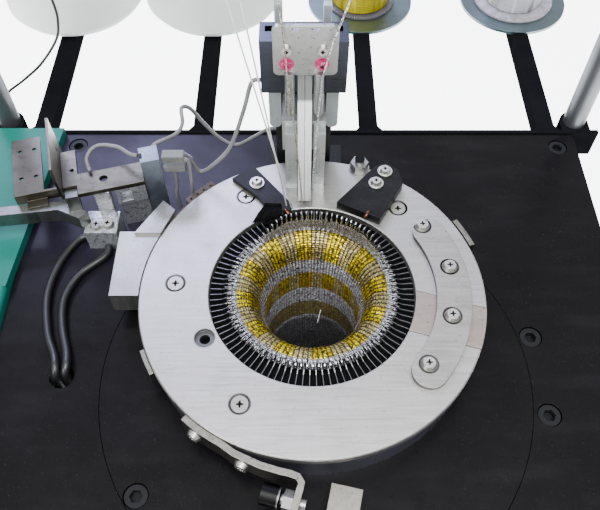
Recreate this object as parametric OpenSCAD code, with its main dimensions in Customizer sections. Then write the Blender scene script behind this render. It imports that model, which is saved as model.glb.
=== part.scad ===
// Small-diameter circular knitting machine on a sheet-steel cabinet.
// The needle cylinder turns inside a fixed cam box below a round cover ring.
// Pieces are placed from the cylinder's axis, and the whole is then centred on its footprint.

/* [Table] */
// Height of the table top above the floor
table_z = 900; // [800:10:1000]
// Thickness of the table plate
table_t = 16; // [14:1:22]
// Distance from the cylinder axis to the right edge of the table
table_right = 245; // [242:1:262]
// Distance from the cylinder axis to the rear edge of the table
table_rear = 192; // [189:1:205]
// Distance from the cylinder axis to the front edge of the table
table_front = 240; // [236:1:260]
// Radius of the round inset plate
inset_r = 157.5; // [157:0.5:158]
// Thickness of the round inset plate
inset_t = 8; // [6:1:9]
// Radius of the cable hole
cable_hole_r = 9; // [8:0.5:12]

/* [Knitting head] */
// Height of the cover ring's top face above the table
head_h = 36; // [36:1:44]
// Outer radius of the cover ring
ring_r = 127; // [125:1:130]
// Thickness of the cover ring
ring_t = 6; // [5:0.5:7]
// Radius of the hole in the cover ring
ring_hole_r = 76; // [75:0.5:78]
// Width of the gate that is let into the cover ring
gate_w = 34; // [26:1:38]
// Number of needles, and of sinkers
needle_count = 96; // [72:4:100]
// Outer radius of the needle cylinder
cylinder_r = 63.2; // [62:0.2:63.8]
// Bore radius of the needle cylinder
cylinder_bore_r = 55; // [52:0.5:56]
// Width of a needle slot
slot_w = 1.1; // [1:0.1:1.6]
// Thickness of a needle
needle_t = 0.7; // [0.5:0.1:0.8]
// Length of a needle
needle_l = 45; // [40:1:46]
// How far the needles stand up at the rear, where they take the yarn
needle_rise = 14; // [6:1:14]
// Thickness of a sinker
sinker_t = 0.5; // [0.4:0.1:0.8]
// Radius of the knitted tube's wall where it hangs
fabric_r = 36; // [34:0.5:38]

/* [Drive] */
// Tooth size of the gears
gear_module = 2; // [1.9:0.05:2.1]
// Teeth on the ring gear
ring_gear_teeth = 84; // [80:1:86]
// Teeth on the pinion
pinion_teeth = 21; // [18:1:22]
// Width of the gears
gear_w = 16; // [10:1:18]
// Rim radius of the jack shaft's pulley
jack_pulley_r = 48; // [40:1:52]
// Rim radius of the motor's pulley
motor_pulley_r = 24; // [20:1:30]
// Radius of the motor's body
motor_r = 58; // [45:1:60]
// Clearance between a turning shaft and its bore
shaft_gap = 0.05; // [0.03:0.01:0.08]

/* [Yarn changer] */
// Width of one finger of the yarn changer
finger_w = 4.9; // [4:0.1:5.2]
// Width of the changer block
changer_w = 59; // [56:1:66]
// Width of the changer's cover plate
changer_cover_w = 43; // [38:1:46]
// Height of the changer's cover plate
changer_cover_h = 39.5; // [37:0.5:41]

/* [Cabinet] */
// Side of the square tube of the base frame
frame_tube = 30; // [25:1:34]
// Half the width of the base frame
frame_half_w = 238; // [232:1:238]
// Thickness of the sheet panels
panel_t = 1.5; // [1:0.5:2]
// Height of the door above the floor
door_bottom = 62; // [55:1:80]
// Depth of the door pan
door_t = 13.5; // [10:0.5:14]
// Width of the cover on the left side
side_cover_w = 95.5; // [90:0.5:110]
// Height of the side cover above the table
side_cover_rise = 9; // [5:1:15]

/* [Creel] */
// Radius of the spool discs
disc_r = 56; // [50:1:60]
// Side of the square tubes that carry the discs
arm_w = 16; // [14:1:20]
// Radius of the yarn packages
package_r = 74; // [60:1:80]
// Height of the yarn packages
package_h = 150; // [120:5:170]
// Radius of the posts
post_r = 10; // [8:0.5:12]
// Height of the guide bar above the floor
guide_z = 1650; // [1500:10:1800]

/* [Hidden] */
$fn = 64;
eps = 0.01;
seat_gap = 0.3;
screw_gap = 0.2;

ring_z = table_z + head_h;
table_under = table_z - table_t;
frame_front = table_front - 8;
frame_rear = table_rear - 6;
left_end = frame_half_w + panel_t + side_cover_w;
right_end = table_right + 24;
disc_y = 391;
disc_x = [-250, -101, 56, 222];
disc_t = 3;
door_handle_out = 24;
front_end = frame_front + door_t + 0.5 + door_handle_out;
rear_end = disc_y + package_r + 5;
reach_right = disc_x[3] + disc_r;
centre = [(reach_right - left_end) / 2, (rear_end - front_end) / 2];

module place() {
  translate([-centre[0], -centre[1], 0]) children();
}

// Points on a circle, for outlines
function on_circle(r, a) = [r * cos(a), r * sin(a)];
function arc_points(r, a0, a1, n) = [for (i = [0:n]) on_circle(r, a0 + (a1 - a0) * i / n)];

// A rectangle with round corners, centred
module round_rect(w, h, r) {
  square([w - 2 * r, h], center = true);
  square([w, h - 2 * r], center = true);
  for (x = [-1, 1], y = [-1, 1])
    translate([x * (w / 2 - r), y * (h / 2 - r)]) circle(r, $fn = 32);
}

// A flat ring
module ring(r_out, r_in, h) {
  difference() {
    cylinder(r = r_out, h = h, $fn = 128);
    translate([0, 0, -1]) cylinder(r = r_in, h = h + 2, $fn = 128);
  }
}

// A bar with round ends from a to b, in the plane
module slot_2d(a, b, r) {
  d = b - a;
  translate(a) circle(r, $fn = 32);
  translate(b) circle(r, $fn = 32);
  translate(a) rotate(atan2(d[1], d[0])) translate([0, -r]) square([norm(d), 2 * r]);
}

// Smooth curve through hand-picked points
function spline_at(p, i, t) =
  let (n = len(p) - 1, a = p[max(i - 1, 0)], b = p[i], c = p[i + 1], d = p[min(i + 2, n)])
    0.5 * (2 * b + t * (c - a) + t * t * (2 * a - 5 * b + 4 * c - d)
      + t * t * t * (3 * b - a - 3 * c + d));
function spline(p, n) =
  concat([for (i = [0:len(p) - 2], k = [0:n - 1]) spline_at(p, i, k / n)], [p[len(p) - 1]]);
function unit(v) = v / norm(v);
function tangent(p, i) = unit(p[min(i + 1, len(p) - 1)] - p[max(i - 1, 0)]);

// A round tube swept along points, side_ref is a direction that the route never takes
module sweep(p, r, side_ref = [0, 1, 0], sides = 8) {
  rings = len(p);
  verts = [
    for (i = [0:rings - 1])
      let (t = tangent(p, i), u = unit(cross(t, side_ref)), v = cross(t, u))
        for (k = [0:sides - 1])
          p[i] + r * (cos(360 * k / sides) * u + sin(360 * k / sides) * v)
  ];
  walls = [
    for (i = [0:rings - 2], k = [0:sides - 1])
      let (m = (k + 1) % sides)
        [i * sides + k, (i + 1) * sides + k, (i + 1) * sides + m, i * sides + m]
  ];
  ends = [[for (k = [0:sides - 1]) k], [for (k = [sides - 1:-1:0]) (rings - 1) * sides + k]];
  polyhedron(verts, concat(walls, ends), convexity = 4);
}

// Cabinet
leg_bottom = 40;
bottom_rail_z = 90;
leg_x = frame_half_w - frame_tube;
motor_shaft_r = 9.5;

module frame_rail_x(y, z) {
  translate([-leg_x, y, z]) cube([2 * leg_x, frame_tube, frame_tube]);
}

module frame_rail_y(x, z) {
  translate([x, -frame_front + frame_tube, z])
    cube([frame_tube, frame_front + frame_rear - 2 * frame_tube, frame_tube]);
}

module base_frame() {
  top_z = table_under - frame_tube;
  color([0.16, 0.17, 0.18]) {
    for (x = [-frame_half_w, leg_x], y = [-frame_front, frame_rear - frame_tube])
      translate([x, y, leg_bottom]) cube([frame_tube, frame_tube, table_under - leg_bottom]);
    for (z = [bottom_rail_z, motor_rail_z, top_z]) {
      frame_rail_y(-frame_half_w, z);
      frame_rail_y(leg_x, z);
      frame_rail_x(frame_rear - frame_tube, z);
    }
    frame_rail_x(-frame_front, top_z);
    frame_rail_x(-frame_front, bottom_rail_z);
    // Plate that carries the motor, welded on the rails
    difference() {
      translate([0, 0, motor_rail_z + frame_tube]) linear_extrude(8) {
        translate([-leg_x + 1, 46]) square([leg_x - 40, frame_rear - 56]);
        translate([-frame_half_w + 8, 46]) square([frame_tube, 80]);
      }
      translate([motor_at[0], motor_at[1], motor_rail_z])
        cylinder(r = motor_shaft_r + 10, h = 80);
    }
  }
}

module levelling_feet() {
  pad_r = 24;
  color([0.2, 0.2, 0.21])
    for (x = [-1, 1], y = [-frame_front + frame_tube / 2, frame_rear - frame_tube / 2])
      translate([x * (frame_half_w - frame_tube / 2), y, 0]) {
        cylinder(r = pad_r, h = 8);
        translate([0, 0, 8 - eps]) cylinder(r1 = pad_r - 4, r2 = 9, h = 8);
        cylinder(r = 6, h = leg_bottom);
        translate([0, 0, leg_bottom - 9]) cylinder(r = 10.5, h = 8, $fn = 6);
      }
}

module body_panels() {
  panel_h = table_under - leg_bottom - 22;
  color([0.2, 0.56, 0.52]) translate([0, 0, leg_bottom + 20]) {
    for (x = [-frame_half_w - panel_t, frame_half_w])
      translate([x, -frame_front, 0]) cube([panel_t, frame_front + frame_rear, panel_h]);
    // Back panel with cooling slots
    difference() {
      translate([-frame_half_w, frame_rear, 0]) cube([2 * frame_half_w, panel_t, panel_h]);
      for (i = [0:5], x = [-130, 130])
        translate([x, frame_rear + panel_t + 1, 120 + 22 * i]) rotate([90, 0, 0])
          linear_extrude(panel_t + 2) slot_2d([-40, 0], [40, 0], 4);
    }
  }
}

apron_bottom = 800;
start_at = [150, 842];
stop_at = [195, 842];
button_r = 11;
button_travel = 4;

module front_apron() {
  color([0.2, 0.56, 0.52]) difference() {
    translate([-frame_half_w, -frame_front - panel_t, apron_bottom])
      cube([2 * frame_half_w, panel_t, table_under - apron_bottom - 2]);
    for (p = [start_at, stop_at])
      translate([p[0], -frame_front + 1, p[1]]) rotate([90, 0, 0])
        cylinder(r = button_r, h = panel_t + 2);
  }
}

module push_button(at, r_head, h_head) {
  travel_room = button_travel + 0.5;
  translate([at[0], -frame_front - panel_t, at[1]]) rotate([90, 0, 0]) {
    cylinder(r = button_r - seat_gap, h = travel_room + 3);
    translate([0, 0, travel_room]) cylinder(r = r_head, h = h_head);
    translate([0, 0, -panel_t]) cylinder(r = button_r - seat_gap, h = panel_t + 1);
  }
}

module start_button() {
  color([0.12, 0.55, 0.2]) push_button(start_at, 14, 6);
}

module stop_button() {
  color([0.75, 0.08, 0.06]) push_button(stop_at, 18, 12);
}

// The door hangs on two lift-off hinges at its left edge
hinge_at = [-frame_half_w - 5.5, -frame_front - 7];
hinge_pin_r = 2.5;
hinge_r = 4.5;
hinge_knuckle = 20;
hinge_z = [170, 690];
door_left = -frame_half_w + 2;
door_gap = 0.5;
handle_z = 520;
handle_l = 110;

module door_hinges() {
  color([0.6, 0.6, 0.62]) for (z = hinge_z) translate([0, 0, z]) {
    translate([hinge_at[0], hinge_at[1], 0]) {
      cylinder(r = hinge_r, h = hinge_knuckle);
      cylinder(r = hinge_pin_r, h = 2 * hinge_knuckle - 1);
    }
    translate([-frame_half_w - panel_t - 2.5, hinge_at[1], 0])
      cube([2.5, 34, hinge_knuckle]);
  }
}

module door() {
  door_h = apron_bottom - 4 - door_bottom;
  door_w = 2 * frame_half_w - 4;
  door_back = -frame_front - door_gap;
  color([0.2, 0.56, 0.52]) {
    difference() {
      translate([door_left, door_back - door_t, door_bottom]) cube([door_w, door_t, door_h]);
      translate([door_left + 2, door_back - door_t + 2, door_bottom + 2])
        cube([door_w - 4, door_t, door_h - 4]);
    }
    for (z = hinge_z) translate([0, 0, z + hinge_knuckle + seat_gap]) difference() {
      union() {
        translate([hinge_at[0], hinge_at[1], 0]) cylinder(r = hinge_r, h = hinge_knuckle);
        translate([hinge_at[0], hinge_at[1] - hinge_r, 0])
          cube([door_left - hinge_at[0] + 1, 3, hinge_knuckle]);
      }
      translate([hinge_at[0], hinge_at[1], -1])
        cylinder(r = hinge_pin_r + shaft_gap, h = hinge_knuckle + 2);
    }
    // Bow handle
    handle_x = door_left + door_w - 40;
    translate([handle_x, door_back - door_t, handle_z]) {
      for (z = [0, handle_l]) translate([0, 0, z]) rotate([90, 0, 0])
        cylinder(r = 5, h = door_handle_out - 5);
      translate([0, -door_handle_out + 5, -5]) cylinder(r = 5, h = handle_l + 10);
    }
  }
}

// The cover beside the table, its top stands a little above the plate
module side_cover() {
  wall = 2;
  cover_bottom = 600;
  cover_front = 200;
  cover_rear = table_rear - 1;
  top = table_z + side_cover_rise;
  x0 = -left_end;
  w = side_cover_w;
  color([0.2, 0.56, 0.52]) translate([0, cover_rear, 0]) rotate([90, 0, 0]) {
    difference() {
      linear_extrude(cover_front + cover_rear) cover_profile(x0, w, cover_bottom, top, 5);
      translate([0, 0, wall]) linear_extrude(cover_front + cover_rear - 2 * wall)
        cover_profile(x0 + wall, w - 2 * wall, cover_bottom - 10, top - wall, 3);
    }
  }
  // Lip over the edge of the table
  color([0.2, 0.56, 0.52]) translate([0, 0, table_z + seat_gap])
    linear_extrude(side_cover_rise - seat_gap)
      polygon([[x0 + w - 6, cover_rear], [x0 + w - 6, 20], [x0 + w, 20], [x0 + w + 13.5, cover_rear]]);
}

module cover_profile(x0, w, z0, z1, r) {
  translate([x0, z0]) square([w, z1 - z0 - r]);
  translate([x0 + r, z0]) square([w - 2 * r, z1 - z0]);
  for (x = [x0 + r, x0 + w - r]) translate([x, z1 - r]) circle(r, $fn = 32);
}

// Table
inset_at = [2.6, -53];
inset_ledge = 19.5;
bolt_head_r = 8;
bolt_sink = 9.5;
bolt_at = [
  [168.8, -82.2], [166.7, -19.9], [227.8, 175.8], [-frame_half_w + 25.2, 177.7], [-118.3, -138.7],
  [227.8, -222], [-frame_half_w + 25.2, -222]
];
bolt_recess_r = bolt_head_r + 0.7;
cable_hole_at = [-184, -53];
housing_r = 72;
housing_flange_r = 82;
jack_at = [-gear_module * (ring_gear_teeth + pinion_teeth) / 2, 0];
motor_at = [jack_at[0], 94];

module bolt_cuts() {
  for (p = bolt_at) translate([p[0], p[1], table_z]) {
    translate([0, 0, -bolt_sink]) cylinder(r = bolt_recess_r, h = bolt_sink + 1);
    translate([0, 0, -table_t - 1]) cylinder(r = 5.2, h = table_t);
  }
}

module table_plate() {
  table_left = frame_half_w;
  color([0.17, 0.17, 0.19]) difference() {
    translate([-table_left, -table_front, table_under])
      cube([table_left + table_right, table_front + table_rear, table_t]);
    translate([inset_at[0], inset_at[1], table_z - inset_t])
      cylinder(r = inset_r, h = inset_t + 1, $fn = 128);
    translate([inset_at[0], inset_at[1], table_under - 1])
      cylinder(r = inset_r - inset_ledge, h = table_t + 2, $fn = 128);
    bolt_cuts();
    translate([cable_hole_at[0], cable_hole_at[1], table_under - 1])
      cylinder(r = cable_hole_r, h = table_t + 2);
  }
}

module inset_plate() {
  color([0.17, 0.17, 0.19]) difference() {
    translate([inset_at[0], inset_at[1], table_z - inset_t])
      cylinder(r = inset_r - 0.4, h = inset_t, $fn = 128);
    translate([0, 0, table_under]) cylinder(r = housing_r + seat_gap, h = table_t + 1, $fn = 128);
    bolt_cuts();
  }
}

module table_bolts() {
  color([0.12, 0.12, 0.13]) for (p = bolt_at)
    translate([p[0], p[1], table_z - bolt_sink]) difference() {
      union() {
        cylinder(r = bolt_head_r, h = bolt_sink - 1);
        translate([0, 0, -table_t + bolt_sink]) cylinder(r = 5, h = table_t - bolt_sink + eps);
      }
      translate([0, 0, 3]) cylinder(r = 4.6, h = 10, $fn = 6);
    }
}

// Creel
rail_t = 4;
rail_h = 28.5;
rail_top = table_z + 1.5;
rail_left = 300;
post_at = [[-282, 207], [249, 207]];
socket_r = post_r + 3;
arm_rear = disc_y + disc_r;
disc_z = table_z;

module creel_frame() {
  rail_back = table_rear + rail_t;
  arm_top = disc_z;
  color([0.13, 0.13, 0.14]) difference() {
    union() {
      translate([-rail_left, table_rear, rail_top - rail_h])
        cube([rail_left + right_end, rail_t, rail_h]);
      for (x = disc_x) translate([x - arm_w / 2, rail_back - 1, arm_top - arm_w]) {
        cube([arm_w, arm_rear - rail_back + 1, arm_w]);
        // Weld fillet where the tube meets the rail
        linear_extrude(arm_w) polygon([[-6, 0], [arm_w + 6, 0], [arm_w, 8], [0, 8]]);
      }
      for (p = post_at) translate([p[0], p[1], rail_top - rail_h])
        cylinder(r = socket_r, h = rail_h);
      for (p = post_at) translate([p[0] - socket_r, rail_back - 1, rail_top - rail_h])
        cube([2 * socket_r, p[1] - rail_back + 1, rail_h]);
    }
    for (p = post_at) translate([p[0], p[1], rail_top - rail_h + 4])
      cylinder(r = post_r + 0.1, h = rail_h);
    translate([-rail_left - 1, table_rear - 10, rail_top - rail_h - 1])
      cube([rail_left + right_end + 2, 10, rail_h + 2]);
  }
}

module spool_discs() {
  color([0.5, 0.6, 0.62]) for (x = disc_x) translate([x, disc_y, disc_z]) {
    cylinder(r = disc_r, h = disc_t);
    cylinder(r = 5, h = 70);
  }
}

spool_pin_hole = 5.5;
package_x = [disc_x[0], disc_x[1]];

module white_packages() {
  base = disc_z + disc_t + seat_gap;
  color([0.95, 0.95, 0.93]) for (x = package_x) translate([x, disc_y + 5, base])
    rotate_extrude($fn = 96) polygon([
      [spool_pin_hole + 6, 0], [package_r - 6, 0], [package_r, 8], [package_r - 4, package_h - 10],
      [package_r - 10, package_h], [spool_pin_hole + 6, package_h]
    ]);
}

module spool(flange_r, barrel_r, h) {
  rotate_extrude($fn = 96) polygon([
    [spool_pin_hole, 0], [flange_r, 0], [flange_r, 3], [barrel_r, 4.5], [barrel_r, h - 4.5],
    [flange_r - 3, h - 3], [flange_r - 3, h], [spool_pin_hole, h]
  ]);
}

module gold_spool() {
  color([0.8, 0.72, 0.1]) translate([disc_x[2], disc_y, disc_z + disc_t + seat_gap])
    spool(37, 31, spool_h);
}

module clear_spool() {
  color([0.8, 0.82, 0.85]) translate([disc_x[3], disc_y, disc_z + disc_t + seat_gap])
    spool(42, 30, spool_h);
}

module posts() {
  post_bottom = rail_top - rail_h + 4 + seat_gap;
  color([0.75, 0.76, 0.78]) for (p = post_at)
    translate([p[0], p[1], post_bottom]) cylinder(r = post_r, h = guide_z - post_bottom);
}

// Overhead bar with an eye above each yarn's way down
eye_x = [-180, -132, -85, 212];
guide_bar_d = 24;

module guide_bar() {
  color([0.3, 0.31, 0.33]) difference() {
    union() {
      translate([post_at[0][0] - 25, post_at[0][1] - guide_bar_d / 2, guide_z + seat_gap])
        cube([post_at[1][0] - post_at[0][0] + 50, guide_bar_d, 6]);
      for (p = post_at) translate([p[0], p[1], guide_z - 24])
        ring(post_r + 5, post_r + 0.2, 24 + seat_gap + eps);
      for (x = eye_x) translate([x, post_at[0][1], guide_z - 6])
        cylinder(r = 6, h = 7);
    }
    for (x = eye_x) translate([x, post_at[0][1], guide_z - 10]) cylinder(r = 2.5, h = 30);
  }
}

// Knitting head, fixed pieces
cam_box_r = ring_r - 2.5;
cam_ring_in = 67.2;
cam_ring_out = 79;
cam_ring_top = ring_z - 9;
cam_box_wall = 12;
cam_foot_r = cam_box_r - cam_box_wall - 9.5;

module cam_box() {
  floor_t = 4;
  wall_in = cam_box_r - cam_box_wall;
  top = ring_z - ring_t;
  color([0.2, 0.22, 0.28]) rotate_extrude($fn = 128) polygon([
    [housing_r + seat_gap, table_z], [cam_box_r, table_z], [cam_box_r, top], [wall_in, top],
    [wall_in, table_z + floor_t], [housing_r + seat_gap, table_z + floor_t]
  ]);
}

// Cams round the cylinder: a race for the needle butts with a hump that lifts them at the rear
module cam_ring() {
  floor_z = table_z + 6;
  color([0.5, 0.51, 0.53]) difference() {
    translate([0, 0, table_z + 4]) ring(cam_foot_r, cam_ring_in, cam_ring_top - table_z - 4);
    translate([0, 0, floor_z + 8]) ring(cam_foot_r + 6, cam_ring_out, ring_z);
    translate([0, 0, floor_z + 4]) for (a = [20:40:340]) rotate(a)
      translate([(cam_ring_out + cam_foot_r) / 2, 0, -10]) cylinder(r = 3.2, h = 30);
  }
}

cover_screw_at = [[-49, -88.8], [-101, 5.8], [-52.4, 88.1], [69.1, 76.3]];
cover_screw_r = 6;
drain_at = [-76, -39.7];
gate_turn = -16.7;
gate_shift = 4.3;
strap_r_in = 91;
strap_r_out = 116;
strap_turn = [-40, 29];
strap_t = 3.5;
strap_screw_at = [[102.6, 18], [99.7, -23.7], [79, -61.5], [86, 56]];
ring_strap_screw_at = [strap_screw_at[0], strap_screw_at[2], strap_screw_at[3]];
pan_r = 5.5;
pan_h = 3.2;
pan_shank_r = 2.8;
pan_shank = 5;

module gate_2d(w) {
  rotate(gate_turn) translate([0, gate_shift - w / 2]) square([ring_r + 5, w]);
}

module blind_hole(p, z, depth) {
  translate([p[0], p[1], z - depth]) cylinder(r = pan_shank_r + screw_gap, h = depth + 1, $fn = 32);
}

module cover_ring() {
  bevel = 0.8;
  color([0.82, 0.82, 0.83]) difference() {
    translate([0, 0, ring_z - ring_t]) rotate_extrude($fn = 128) polygon([
      [ring_hole_r, 0], [ring_r, 0], [ring_r, ring_t - bevel], [ring_r - bevel, ring_t],
      [ring_hole_r + 0.5, ring_t], [ring_hole_r, ring_t - 0.5]
    ]);
    for (p = cover_screw_at) translate([p[0], p[1], ring_z]) {
      translate([0, 0, -3.5]) cylinder(r1 = 3, r2 = cover_screw_r + 0.5, h = 3.5 + eps);
      translate([0, 0, -ring_t - 1]) cylinder(r = 3, h = ring_t + 1);
    }
    translate([drain_at[0], drain_at[1], ring_z - 2.5]) cylinder(r = 7.2, h = 4);
    translate([drain_at[0], drain_at[1], ring_z - 10]) cylinder(r = 3.7, h = 12);
    translate([0, 0, ring_z - ring_t - 1]) linear_extrude(ring_t + 2) gate_2d(gate_w + 0.8);
    for (p = concat(ring_pan_at, ring_strap_screw_at)) blind_hole(p, ring_z, 5);
    translate([stud_at[0], stud_at[1], ring_z - 5]) cylinder(r = 4.2, h = 10);
  }
}

module cover_screws() {
  color([0.8, 0.79, 0.75]) for (p = cover_screw_at) translate([p[0], p[1], ring_z]) difference() {
    union() {
      translate([0, 0, -3.3]) cylinder(r1 = 2.8, r2 = cover_screw_r, h = 3.1);
      translate([0, 0, -ring_t + eps]) cylinder(r = 2.8, h = 3);
    }
    translate([0, 0, -1.8]) cross_slot();
  }
}

module cross_slot() {
  for (a = [0, 90]) rotate(a) translate([-2.6, -0.6, 0]) cube([5.2, 1.2, 4]);
}

module gate_insert() {
  color([0.84, 0.8, 0.78]) difference() {
    translate([0, 0, ring_z - ring_t + 0.1]) linear_extrude(ring_t - 0.1) intersection() {
      gate_2d(gate_w);
      difference() {
        circle(ring_r, $fn = 128);
        circle(ring_hole_r, $fn = 128);
      }
    }
    blind_hole(strap_screw_at[1], ring_z, 5);
  }
}

module gate_strap() {
  mid = (strap_r_in + strap_r_out) / 2;
  half = (strap_r_out - strap_r_in) / 2;
  color([0.78, 0.76, 0.72]) difference() {
    translate([0, 0, ring_z]) linear_extrude(strap_t) {
      polygon(concat(arc_points(strap_r_out, strap_turn[0], strap_turn[1], 24),
        arc_points(strap_r_in, strap_turn[1], strap_turn[0], 24)));
      for (a = strap_turn) translate(on_circle(mid, a)) circle(half, $fn = 48);
    }
    for (p = strap_screw_at) blind_hole(p, ring_z + strap_t + 1, strap_t + 2);
  }
}

// Pan-head screws share one pattern of places: [x, y, z of the seat, turn about X]
stud_at = [40, 118];
feeder_z = 4;
left_feeder_screw = [-43.7, 98.6];
right_feeder_screw = [[60, 107.5], [52, 95]];
washer_r = 6;
washer_t = 1;
right_feeder_z = 8;
ring_pan_at = concat([left_feeder_screw], right_feeder_screw);
changer_screw_x = [-17.8, 5.9];
changer_x = -6.3;
changer_front = 100;
changer_block_z = 99.5;
changer_block_h = 44;
changer_cover_z = 118;
changer_cover_t = 3;
changer_screw_z = [139.5, 127.5];
cover_pan_r = 4.2;
cover_pan_shank_r = 2;

module pan_screw(r = pan_r, shank_r = pan_shank_r) {
  difference() {
    union() {
      cylinder(r1 = r, r2 = 0.75 * r, h = pan_h);
      translate([0, 0, -pan_shank]) cylinder(r = shank_r, h = pan_shank + eps, $fn = 32);
    }
    translate([0, 0, pan_h - 1.4]) scale(0.155 * r) cross_slot();
  }
}

// A pan-head screw on a flat washer, the seat is the washer's underside
module washer_screw() {
  cylinder(r = washer_r, h = washer_t);
  translate([0, 0, washer_t - eps]) pan_screw(4.6);
}

module pan_screws() {
  color([0.8, 0.8, 0.78]) {
    for (p = strap_screw_at) translate([p[0], p[1], ring_z + strap_t]) pan_screw();
    translate([left_feeder_screw[0], left_feeder_screw[1], ring_z + feeder_z]) washer_screw();
    for (p = right_feeder_screw) translate([p[0], p[1], ring_z + right_feeder_z]) washer_screw();
    for (x = changer_screw_x, z = changer_screw_z)
      translate([x, changer_front - changer_cover_t, ring_z + z]) rotate([90, 0, 0])
        pan_screw(cover_pan_r, cover_pan_shank_r);
    for (s = front_strap_screws) on_strap_side(s) pan_screw();
    for (p = foot_screw_at) translate([p[0], p[1], ring_z + foot_top]) pan_screw();
  }
}

module feeder_arms() {
  color([0.13, 0.13, 0.14]) {
    difference() {
      translate([0, 0, ring_z]) linear_extrude(feeder_z) polygon([
        [-64, 104], [-47, 117], [-15, 77], [-16, 71], [-21.5, 70], [-22, 61.8], [-37, 59.8],
        [-36.5, 76], [-42, 84]
      ]);
      blind_hole(left_feeder_screw, ring_z + feeder_z + 1, feeder_z + 2);
    }
    difference() {
      translate([0, 0, ring_z]) linear_extrude(right_feeder_z) {
        translate([60, 104]) circle(12, $fn = 48);
        polygon([[20.2, 76.2], [53, 59.4], [73.6, 95.5], [71.4, 107.8], [49.9, 110.6]]);
      }
      for (p = right_feeder_screw) blind_hole(p, ring_z + right_feeder_z + 1, right_feeder_z + 2);
    }
  }
}

module hex_fasteners() {
  color([0.7, 0.7, 0.68]) translate([stud_at[0], stud_at[1], ring_z]) {
    cylinder(r = 8.5, h = 1.2);
    translate([0, 0, 1.2 - eps]) cylinder(r = 7.5, h = 6.5, $fn = 6);
    translate([0, 0, -5]) cylinder(r = 4, h = 17);
  }
  // Bolt through the leg of the front strap: nut, shank and round head
  color([0.7, 0.7, 0.68]) on_strap_side(strap_bolt) {
    cylinder(r = 7, h = 6.5, $fn = 6);
    translate([0, 0, -8]) cylinder(r = 4, h = 18);
    translate([0, 0, 9]) cylinder(r = 7.5, h = 12);
  }
}

// Front strap: along the ring, then away from it and round a corner
front_strap_t = 4.5;
front_strap_r = ring_r + 0.3 + front_strap_t / 2;
front_strap_end = -ring_r;
front_strap_line = concat(arc_points(front_strap_r, -131.5, -118, 8), [
  [-51.6, front_strap_end + 6], [-34.3, front_strap_end - 1.9], [-22.5, front_strap_end - 5.4],
  [-14.8, front_strap_end - 7.2], [-10.2, front_strap_end - 9], [-7.9, front_strap_end - 12.8],
  [-9, front_strap_end - 16.8], [-18.2, front_strap_end - 50]]);
// Place on the strap's side and the direction it faces
front_strap_screws = [
  concat(on_circle(front_strap_r + front_strap_t / 2, -126.6), [-126.6]),
  [-46.3, front_strap_end + 1.1, -114.5]];
strap_bolt = [-12.95, front_strap_end - 22.4, 164.5];
strap_low = -20;

module on_strap_side(s) {
  translate([s[0], s[1], ring_z - 11]) rotate(s[2]) rotate([0, 90, 0]) children();
}

function line_turn(p, i) = let(d = p[min(i + 1, len(p) - 1)] - p[max(i - 1, 0)]) d / norm(d);
function beside(p, d) = [for (i = [0:len(p) - 1])
  p[i] + d * [-line_turn(p, i)[1], line_turn(p, i)[0]]];
function reversed(p) = [for (i = [1:len(p)]) p[len(p) - i]];

module ring_straps() {
  strap_h = 18;
  color([0.72, 0.71, 0.68]) {
    difference() {
      translate([0, 0, ring_z + strap_low]) linear_extrude(strap_h)
        polygon(concat(beside(front_strap_line, front_strap_t / 2),
          reversed(beside(front_strap_line, -front_strap_t / 2))));
      for (s = front_strap_screws) on_strap_side(s) translate([0, 0, -front_strap_t - 1])
        cylinder(r = pan_shank_r + screw_gap, h = front_strap_t + 3, $fn = 32);
      on_strap_side(strap_bolt) translate([0, 0, -front_strap_t - 2])
        cylinder(r = 4 + screw_gap, h = front_strap_t + 4);
    }
    // Clip on the left of the ring
    translate([0, 0, ring_z - 16]) linear_extrude(14) polygon(concat(
      arc_points(ring_r + 3.3, -158, -149, 6), arc_points(ring_r + 0.3, -149, -158, 6)));
    // Clip on the right of the ring, behind the gate strap
    translate([0, 0, ring_z - 16]) linear_extrude(16.5) polygon(concat(
      arc_points(ring_r + 4.3, 18, 29.5, 8), arc_points(ring_r + 0.3, 29.5, 18, 8)));
    // Stop block on the table in front of the ring
    translate([11.7, -ring_r - 8.5, table_z]) rotate(-12.5) translate([0, -42, 0])
      cube([20.6, 42, 19]);
  }
}

// Block against the left of the ring, and the square plate behind it
module side_plates() {
  color([0.78, 0.77, 0.75]) {
    difference() {
      translate([-ring_r - 22, -5, ring_z - 21]) cube([60, 58, 21]);
      translate([0, 0, ring_z - 30]) cylinder(r = ring_r + seat_gap, h = 40, $fn = 128);
    }
    translate([-ring_r, 0, ring_z]) linear_extrude(2.5)
      polygon([[9, 82], [19.5, 72.5], [10.5, 50], [-10, 50]]);
  }
}

module toothed_strip() {
  r0 = ring_r + seat_gap;
  teeth = 9;
  turn = [127.5, 139.5];
  tail = 151;
  color([0.42, 0.31, 0.24]) difference() {
    translate([0, 0, ring_z - 14]) linear_extrude(12) polygon(concat(
      arc_points(r0, turn[0], tail, 16), arc_points(r0 + 1.8, tail, turn[1] + 0.4, 6),
      [for (i = [0:2 * teeth]) on_circle(r0 + 5.6 + 1.6 * (i % 2),
        turn[1] - (turn[1] - turn[0]) * i / (2 * teeth))]));
    for (i = [0:3]) translate(concat(on_circle(r0 + 3, turn[0] + 1.7 + 2.9 * i), [ring_z - 6]))
      cylinder(r = 1, h = 10, $fn = 24);
  }
}

// Yarn changer behind the ring
post_front = ring_r + 4;
leg_at = [-20, 1.2];
leg_w = 8.8;
bar_x = [-27.2, 14.8];
bar_w = 9;
bar_t = 5;
bar_y = 113;
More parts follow.
